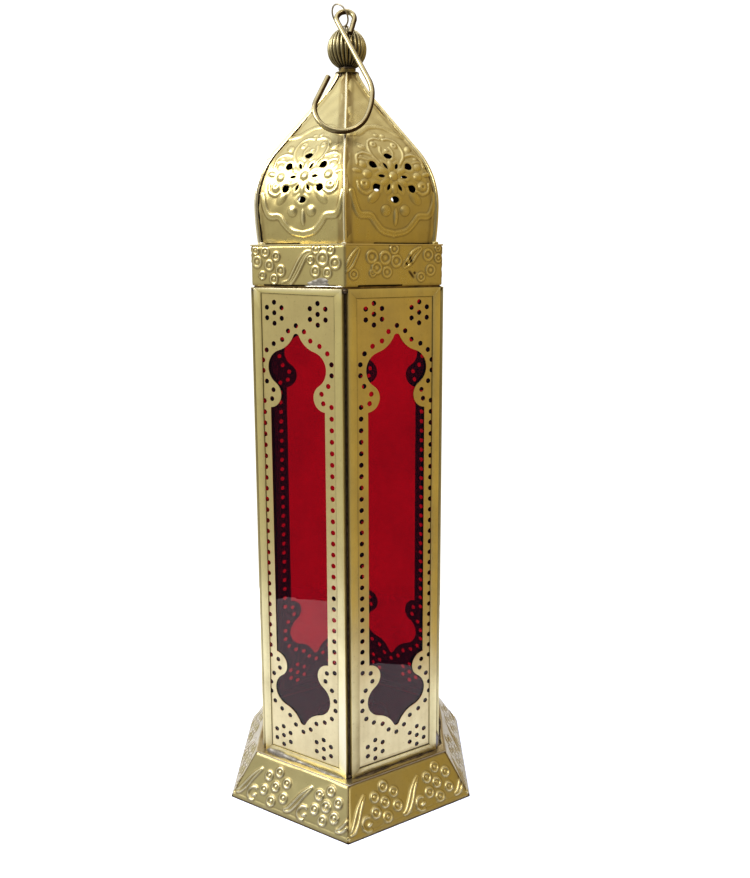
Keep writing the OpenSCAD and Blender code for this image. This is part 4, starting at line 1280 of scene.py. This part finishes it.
# Drops at every corner as (name, distance from the axis, height, radii, seed, metal). The corner's number is
# added to the name and to the seed.
CORNER_DROPS = (
    ("foot_solder_%d", FOOT_A / math.cos(HALF) - 2.2, 1.6, (1.2, 0.8, 1.3), 220, "embossed_brass"),
    ("low_corner_solder_%d", CORNER_R - 2.6, DECK_Z + 0.7, (1.7, 1.6, 1.1), 230, "dark_solder"),
    ("high_corner_solder_%d", CORNER_R - 2.6, CROWN_Z - 0.9, (1.9, 1.6, 1.3), 240, "dark_solder"),
)
# Lumps under the ball as (name, turn in degrees, depth under the collar, radii). They are dark solder, and the
# left one also paints the shade under the ball.
NECK_LUMPS = (("neck_lump_left", -128, 2.2, (1.5, 1.3, 2.2)), ("neck_lump_right", -35, 1.0, (1.2, 1.1, 1.5)))
NECK_RING, NECK_RING_T, LUMP_RING = 3.7, 0.7, 4.6
SEAM_BAR_R = 0.3
BAR_CUTS = 60
LUMP_SEED = 5
# A fillet rises from this place over this length, towards its left end.
RISE_FROM, RISE_OVER = 14, 34


class LANTERN_OT_solder(bpy.types.Operator):
    """Runs solder along the seams where it shows"""

    bl_idname = "lantern.solder"
    bl_label = "Solder"

    def execute(self, context):
        # Without a seed of its own, Blender's noise would be another one in each run.
        noise.seed_set(LUMP_SEED)
        size = sizes().solder_size / MM
        for i in SIDE_NUMBERS:
            if i != DOOR_SIDE:
                # On the front right and right sides the fillet is dark solder, which also paints the shade at
                # the foot of those frames.
                out = size * (3.0 if i == RIGHT else 1.5)
                kind = "dark_solder" if i in (FRONT_RIGHT, RIGHT) else "grey_solder"
                rise = 3.8 if i == FRONT_LEFT else 1.0
                self.strip("deck_solder_%d" % i, i, (0, FRAME_W - 1.0), (WINDOW_A, DECK_Z),
                           (out, size * 0.55), 200 + i, rise, kind)
            for name, reach, z, radii, seed, kind in CORNER_DROPS:
                self.lump(name % i, (0, reach, z), radii, seed + i, kind, corner_turn(i))
            if i not in (DOOR_SIDE, DOOR_SIDE + 1):
                self.corner_seam(i)
        self.strip("band_foot_solder", FRONT_LEFT, (15.0, 22.0), (BAND_A - 0.1, BAND_Z),
                   (size * 0.7, size * 0.5), 260, 1.0, "bright_solder")
        for name, turn, place, radii, seed, kind in DROPS:
            self.lump(name, place, radii, seed, kind, turn)
        self.neck_ring()
        for name, turn, low, radii in NECK_LUMPS:
            a = math.radians(turn)
            place = (LUMP_RING * math.cos(a), -LUMP_RING * math.sin(a), NECK_Z - low)
            self.lump(name, place, radii, 270 - turn, "dark_solder", 0.0)
        return {"FINISHED"}

    @staticmethod
    def finish(obj, points, kind, turn=0.0):
        set_points(obj.data, turned(points, turn))
        finish_piece(obj, "lantern", (), plain_metal(kind), 60)

    @staticmethod
    def long_bar(name):
        """A round bar of unit size along Z, cut into short stretches."""
        obj = add_piece(name, bpy.ops.mesh.primitive_cylinder_add,
                        vertices=12, radius=1, depth=2, end_fill_type="NGON")
        select_where(obj, "EDGE", lambda edge: abs(edge_span(edge).z) > 1)
        bpy.ops.mesh.subdivide(number_cuts=BAR_CUTS)
        bpy.ops.object.mode_set(mode="OBJECT")
        return obj, mesh_points(obj.data)

    @classmethod
    def corner_seam(cls, i):
        """Solder that closes the slit where two channels meet."""
        obj, co = cls.long_bar("corner_seam_%d" % i)
        reach = (WINDOW_A - FRAME_D + 0.3) / math.cos(HALF)
        z = (DECK_Z + CROWN_Z) / 2 + co[:, 2] * (CROWN_Z - DECK_Z) / 2
        pts = np.stack([SEAM_BAR_R * co[:, 0], SEAM_BAR_R * co[:, 1] - reach, z], 1)
        pts[:, :2] = lumpy(pts, 280 + i, 2.2, 0.07)[:, :2]
        cls.finish(obj, pts, "dark_solder", corner_turn(i))

    @classmethod
    def strip(cls, name, i, span, place, size, seed, rise, kind):
        """A low fillet in the corner between an upright face and a level sheet. It may rise towards its left
        end. The span is its middle and its length. The place and the size are outwards and up."""
        obj, co = cls.long_bar(name)
        rng = np.random.RandomState(seed)
        x = span[0] + co[:, 2] * span[1] / 2
        up = size[1] * (1 + (rise - 1) * np.clip((RISE_FROM - x) / RISE_OVER, 0, 1))
        # A quarter round: the round's upper half is laid into the corner.
        a = np.arctan2(co[:, 1], co[:, 0])
        ends = np.clip((1 - np.abs(co[:, 2])) * 12, 0.15, 1)
        reach = np.hypot(co[:, 0], co[:, 1]) * (1 + 0.45 * unevenness(x, 0 * x, seed, 22)) * ends
        dx = np.cos(a) * np.where(np.cos(a) > 0, size[0], 0.2) * reach
        dz = np.sin(a) * np.where(np.sin(a) > 0, up, 0.05) * reach
        z = np.maximum(place[1] + 0.02 + dz, place[1] - 0.03)
        pts = lumpy(np.stack([x, -(place[0] - 0.1) - dx, z], 1), rng.uniform(0, 50), 2.2, 0.16)
        set_points(obj.data, pts)
        make_active(obj)
        bpy.ops.object.mode_set(mode="EDIT")
        bpy.ops.mesh.select_all(action="SELECT")
        bpy.ops.mesh.normals_make_consistent(inside=False)
        bpy.ops.object.mode_set(mode="OBJECT")
        cls.finish(obj, pts, kind, side_turn(i))

    @classmethod
    def lump(cls, name, place, radii, seed, kind, turn):
        """A drop of solder, placed and sized sideways, outwards and up, and turned about the axis."""
        obj = add_piece(name, bpy.ops.mesh.primitive_ico_sphere_add, subdivisions=4, radius=1)
        pts = lumpy(mesh_points(obj.data), seed, 0.9, 0.24) * np.array(radii)
        pts += (place[0], -place[1], place[2])
        pts[:, 2] = np.maximum(pts[:, 2], 0.1)
        cls.finish(obj, pts, kind, turn)

    @classmethod
    def neck_ring(cls):
        """Dark solder that fills the corner under the ball, and also paints the shade there."""
        obj = add_piece("neck_solder", bpy.ops.mesh.primitive_torus_add, major_radius=NECK_RING,
                        minor_radius=NECK_RING_T, major_segments=64, minor_segments=16)
        co = lumpy(mesh_points(obj.data), 9.0, 2.0, 0.5)
        cls.finish(obj, co + (0, 0, BALL_LOW + 0.4), "dark_solder")


class LANTERN_OT_finishes(bpy.types.Operator):
    """Gives the carried-over pieces their metals and the glass"""

    bl_idname = "lantern.finishes"
    bl_label = "Finishes"

    def execute(self, context):
        for i in SIDE_NUMBERS:
            dress_nodes(["fretwork_%d" % i], fret_brass(i))
        dress_nodes(["red_glass_%d" % i for i in SIDE_NUMBERS], red_glass())
        dress_nodes(["floor_plate"], ledge_brass())
        dress_nodes(["neck_collar"], collar_brass())
        for metal_name, nodes in (
            ("cap_plate_brass", ["cap_plate"]),
            ("sooty_cup_brass", ["candle_cup"]),
            ("worked_brass", ["hinge_tubes_fixed", "hinge_tubes_door", "door_knob", "turn_button",
                              "button_rivet"]),
            ("dark_old_brass", ["crown_plate", "loop_washer", "hinge_pins"]),
            ("thin_loop_wire", ["lifting_loop"]),
            ("drawn_brass_wire", ["hanging_hook"]),
        ):
            dress_nodes(nodes, plain_metal(metal_name))
        return {"FINISHED"}


FLOOR_R, FLOOR_X = 249.0, -67.0
# The floor as it is seen, as it lights the lantern, as the metal mirrors it, as the glass mirrors it, and as
# it is seen through the glass.
FLOOR_SEEN, FLOOR_COLOUR, FLOOR_MIRRORED = (0.95, 0.95, 0.95), (0.72, 0.72, 0.72), (0.65, 0.655, 0.76)
FLOOR_IN_GLASS, FLOOR_THROUGH_GLASS = (1.0, 0.93, 0.88), (0.66, 0.66, 0.66)
# The room that metal reflects, with its left and right colour, and the parts that fade in over it, as (axis,
# from, to, left colour, right colour).
ROOM_LEFT, ROOM_RIGHT = (0.49, 0.47, 0.39), (0.42, 0.30, 0.075)
ROOM_PARTS = (
    ("Z", 0.2, 0.5, (0.43, 0.43, 0.40), (0.45, 0.335, 0.09)),
    ("Z", 0.56, 0.85, (1.2, 1.25, 1.45), (0.54, 0.46, 0.33)),
    ("Z", 0.88, 1.0, (1.6, 1.6, 1.55), (1.6, 1.6, 1.55)),
    ("Y", 0.2, 0.9, (0.85, 0.87, 0.85), (0.36, 0.3, 0.18)),
)
# The dark place where the onlooker stands.
ONLOOKER, ONLOOKER_WAY = (0.15, 0.135, 0.10), (0.0, -1.0, 0.1)
# What the glass mirrors: it is seen sharply, so the dark of the room shows there.
SHARP_ROOM = (0.10, 0.085, 0.17)
# The even light on dull surfaces.
EVEN_SKY = (1.12, 1.2, 1.5)
WHITE = (1.0, 1.0, 1.0)
# Soft lights as (name, place, size, power, tint).
SOFTBOXES = (
    ("left_softbox", (-0.9, -0.35, 0.95), (0.7, 0.5), 7.0, (1.0, 0.99, 0.96)),
    ("front_softbox", (0.5, -1.3, 1.2), (0.5, 0.5), 5.0, (1.0, 0.96, 0.88)),
    ("back_softbox", (0.1, 1.2, 1.1), (1.0, 0.6), 6.0, WHITE),
)
LIGHTS_AIM = (0, 0, 0.2)

# The photograph's camera, in millimetres, pixels and radians.
CAMERA_PLACE = (14.74, -437.89, 286.57)
CAMERA_YAW, CAMERA_PITCH, CAMERA_ROLL = -0.0023342, 0.1636679, -0.0029844
FOCAL_PX, PICTURE_H, MIDDLE_Y = 817.4, 878.0, 394.0
LONG_SIDE = 36.0


class LANTERN_OT_stage(bpy.types.Operator):
    """Sets the pale floor, the soft lights and the camera"""

    bl_idname = "lantern.stage"
    bl_label = "Stage"

    def execute(self, context):
        context.scene.view_settings.view_transform = "Standard"
        context.scene.view_settings.gamma = 0.86
        context.scene.view_settings.exposure = 0.19
        self.floor()
        self.world(context.scene)
        self.lights(context.scene)
        self.camera(context.scene)
        return {"FINISHED"}

    @staticmethod
    def floor():
        clear_selection()
        bpy.ops.mesh.primitive_circle_add(vertices=128, radius=FLOOR_R * MM, fill_type="NGON",
                                          location=(FLOOR_X * MM, 0, 0))
        obj = bpy.context.object
        obj.name = "pale_floor"
        mat, shader, t = new_material("pale_floor")
        ray = t.node("ShaderNodeLightPath").outputs
        shown = t.mix(ray["Is Glossy Ray"], FLOOR_COLOUR, FLOOR_MIRRORED)
        shown = t.mix(t.times(ray["Is Singular Ray"], ray["Is Glossy Ray"]), shown, FLOOR_IN_GLASS)
        shown = t.mix(ray["Is Transmission Ray"], shown, FLOOR_THROUGH_GLASS)
        t.join(t.mix(ray["Is Camera Ray"], shown, FLOOR_SEEN), shader.inputs["Base Color"])
        shader.inputs["Roughness"].default_value = 0.9
        shader.inputs["Specular IOR Level"].default_value = 0.1
        obj.data.materials.append(mat)

    @staticmethod
    def world(scene):
        """White to the camera, even light for dull surfaces, and a soft room that metal and glass reflect."""
        world = bpy.data.worlds.new("studio")
        scene.world = world
        world.use_nodes = True
        t = Tree(world.node_tree)
        ray = t.node("ShaderNodeLightPath").outputs
        axes = t.axes("Generated")
        across = t.span(axes["X"], -0.85, 0.7)
        room = t.mix(across, ROOM_LEFT, ROOM_RIGHT)
        for axis, start, full, left, right in ROOM_PARTS:
            room = t.mix(t.span(axes[axis], start, full), room, t.mix(across, left, right))
        room = t.mix(t.span(t.along("Generated", ONLOOKER_WAY), 0.62, 0.93), room, ONLOOKER)
        room = t.mix(ray["Is Singular Ray"], room, SHARP_ROOM)
        seen = t.mix(ray["Is Glossy Ray"], EVEN_SKY, room)
        for kind in ("Is Transmission Ray", "Is Camera Ray"):
            seen = t.mix(ray[kind], seen, WHITE)
        back = world.node_tree.nodes["Background"]
        t.join(seen, back.inputs["Color"])
        back.inputs["Strength"].default_value = 1.0

    @staticmethod
    def lights(scene):
        for name, place, size, power, tint in SOFTBOXES:
            data = bpy.data.lights.new(name, "AREA")
            data.shape = "RECTANGLE"
            data.size, data.size_y = size
            data.energy = power
            data.color = tint
            lamp = bpy.data.objects.new(name, data)
            scene.collection.objects.link(lamp)
            lamp.location = place
            lamp.rotation_mode = "QUATERNION"
            lamp.rotation_quaternion = (Vector(LIGHTS_AIM) - Vector(place)).to_track_quat("-Z", "Y")

    @staticmethod
    def camera(scene):
        data = bpy.data.cameras.new("camera")
        data.sensor_fit = "AUTO"
        data.sensor_width = LONG_SIDE
        data.lens = FOCAL_PX / PICTURE_H * LONG_SIDE
        data.shift_y = (MIDDLE_Y - PICTURE_H / 2) / PICTURE_H
        data.clip_start, data.clip_end = 0.01, 50
        cy, sy = math.cos(CAMERA_YAW), math.sin(CAMERA_YAW)
        cp, sp = math.cos(CAMERA_PITCH), math.sin(CAMERA_PITCH)
        cr, sr = math.cos(CAMERA_ROLL), math.sin(CAMERA_ROLL)
        ahead = Vector((sy * cp, cy * cp, -sp))
        right = Vector((cy, -sy, 0))
        up = right.cross(ahead)
        right, up = right * cr + up * sr, up * cr - right * sr
        cam = bpy.data.objects.new("camera", data)
        scene.collection.objects.link(cam)
        turn = Matrix((right, up, -ahead)).transposed().to_4x4()
        cam.matrix_world = Matrix.Translation(Vector(CAMERA_PLACE) * MM) @ turn
        scene.camera = cam


OPERATORS = (LANTERN_OT_skirt, LANTERN_OT_band, LANTERN_OT_dome, LANTERN_OT_seams, LANTERN_OT_channels,
             LANTERN_OT_ball, LANTERN_OT_solder, LANTERN_OT_finishes, LANTERN_OT_stage)


class LANTERN_PT_panel(bpy.types.Panel):
    """Lists the steps that dress the lantern"""

    bl_idname = "LANTERN_PT_panel"
    bl_label = "Lantern"
    bl_space_type = "VIEW_3D"
    bl_region_type = "UI"
    bl_category = "Lantern"

    def draw(self, context):
        for group in (context.scene.lantern_sizes, context.scene.lantern_colours):
            column = self.layout.column(align=True)
            for key in group.__annotations__:
                column.prop(group, key)
        column = self.layout.column(align=True)
        for kind in OPERATORS:
            column.operator(kind.bl_idname)


CLASSES = (LanternSizes, LanternColours) + OPERATORS + (LANTERN_PT_panel,)


def register():
    for kind in CLASSES:
        bpy.utils.register_class(kind)
    bpy.types.Scene.lantern_sizes = bpy.props.PointerProperty(type=LanternSizes)
    bpy.types.Scene.lantern_colours = bpy.props.PointerProperty(type=LanternColours)


def unregister():
    del bpy.types.Scene.lantern_colours
    del bpy.types.Scene.lantern_sizes
    for kind in reversed(CLASSES):
        bpy.utils.unregister_class(kind)


def main():
    register()
    bpy.ops.lantern.skirt()
    bpy.ops.lantern.band()
    bpy.ops.lantern.dome()
    bpy.ops.lantern.seams()
    bpy.ops.lantern.channels()
    bpy.ops.lantern.ball()
    bpy.ops.lantern.solder()
    bpy.ops.lantern.finishes()
    bpy.ops.lantern.stage()
    clear_selection()


if __name__ == "__main__":
    main()
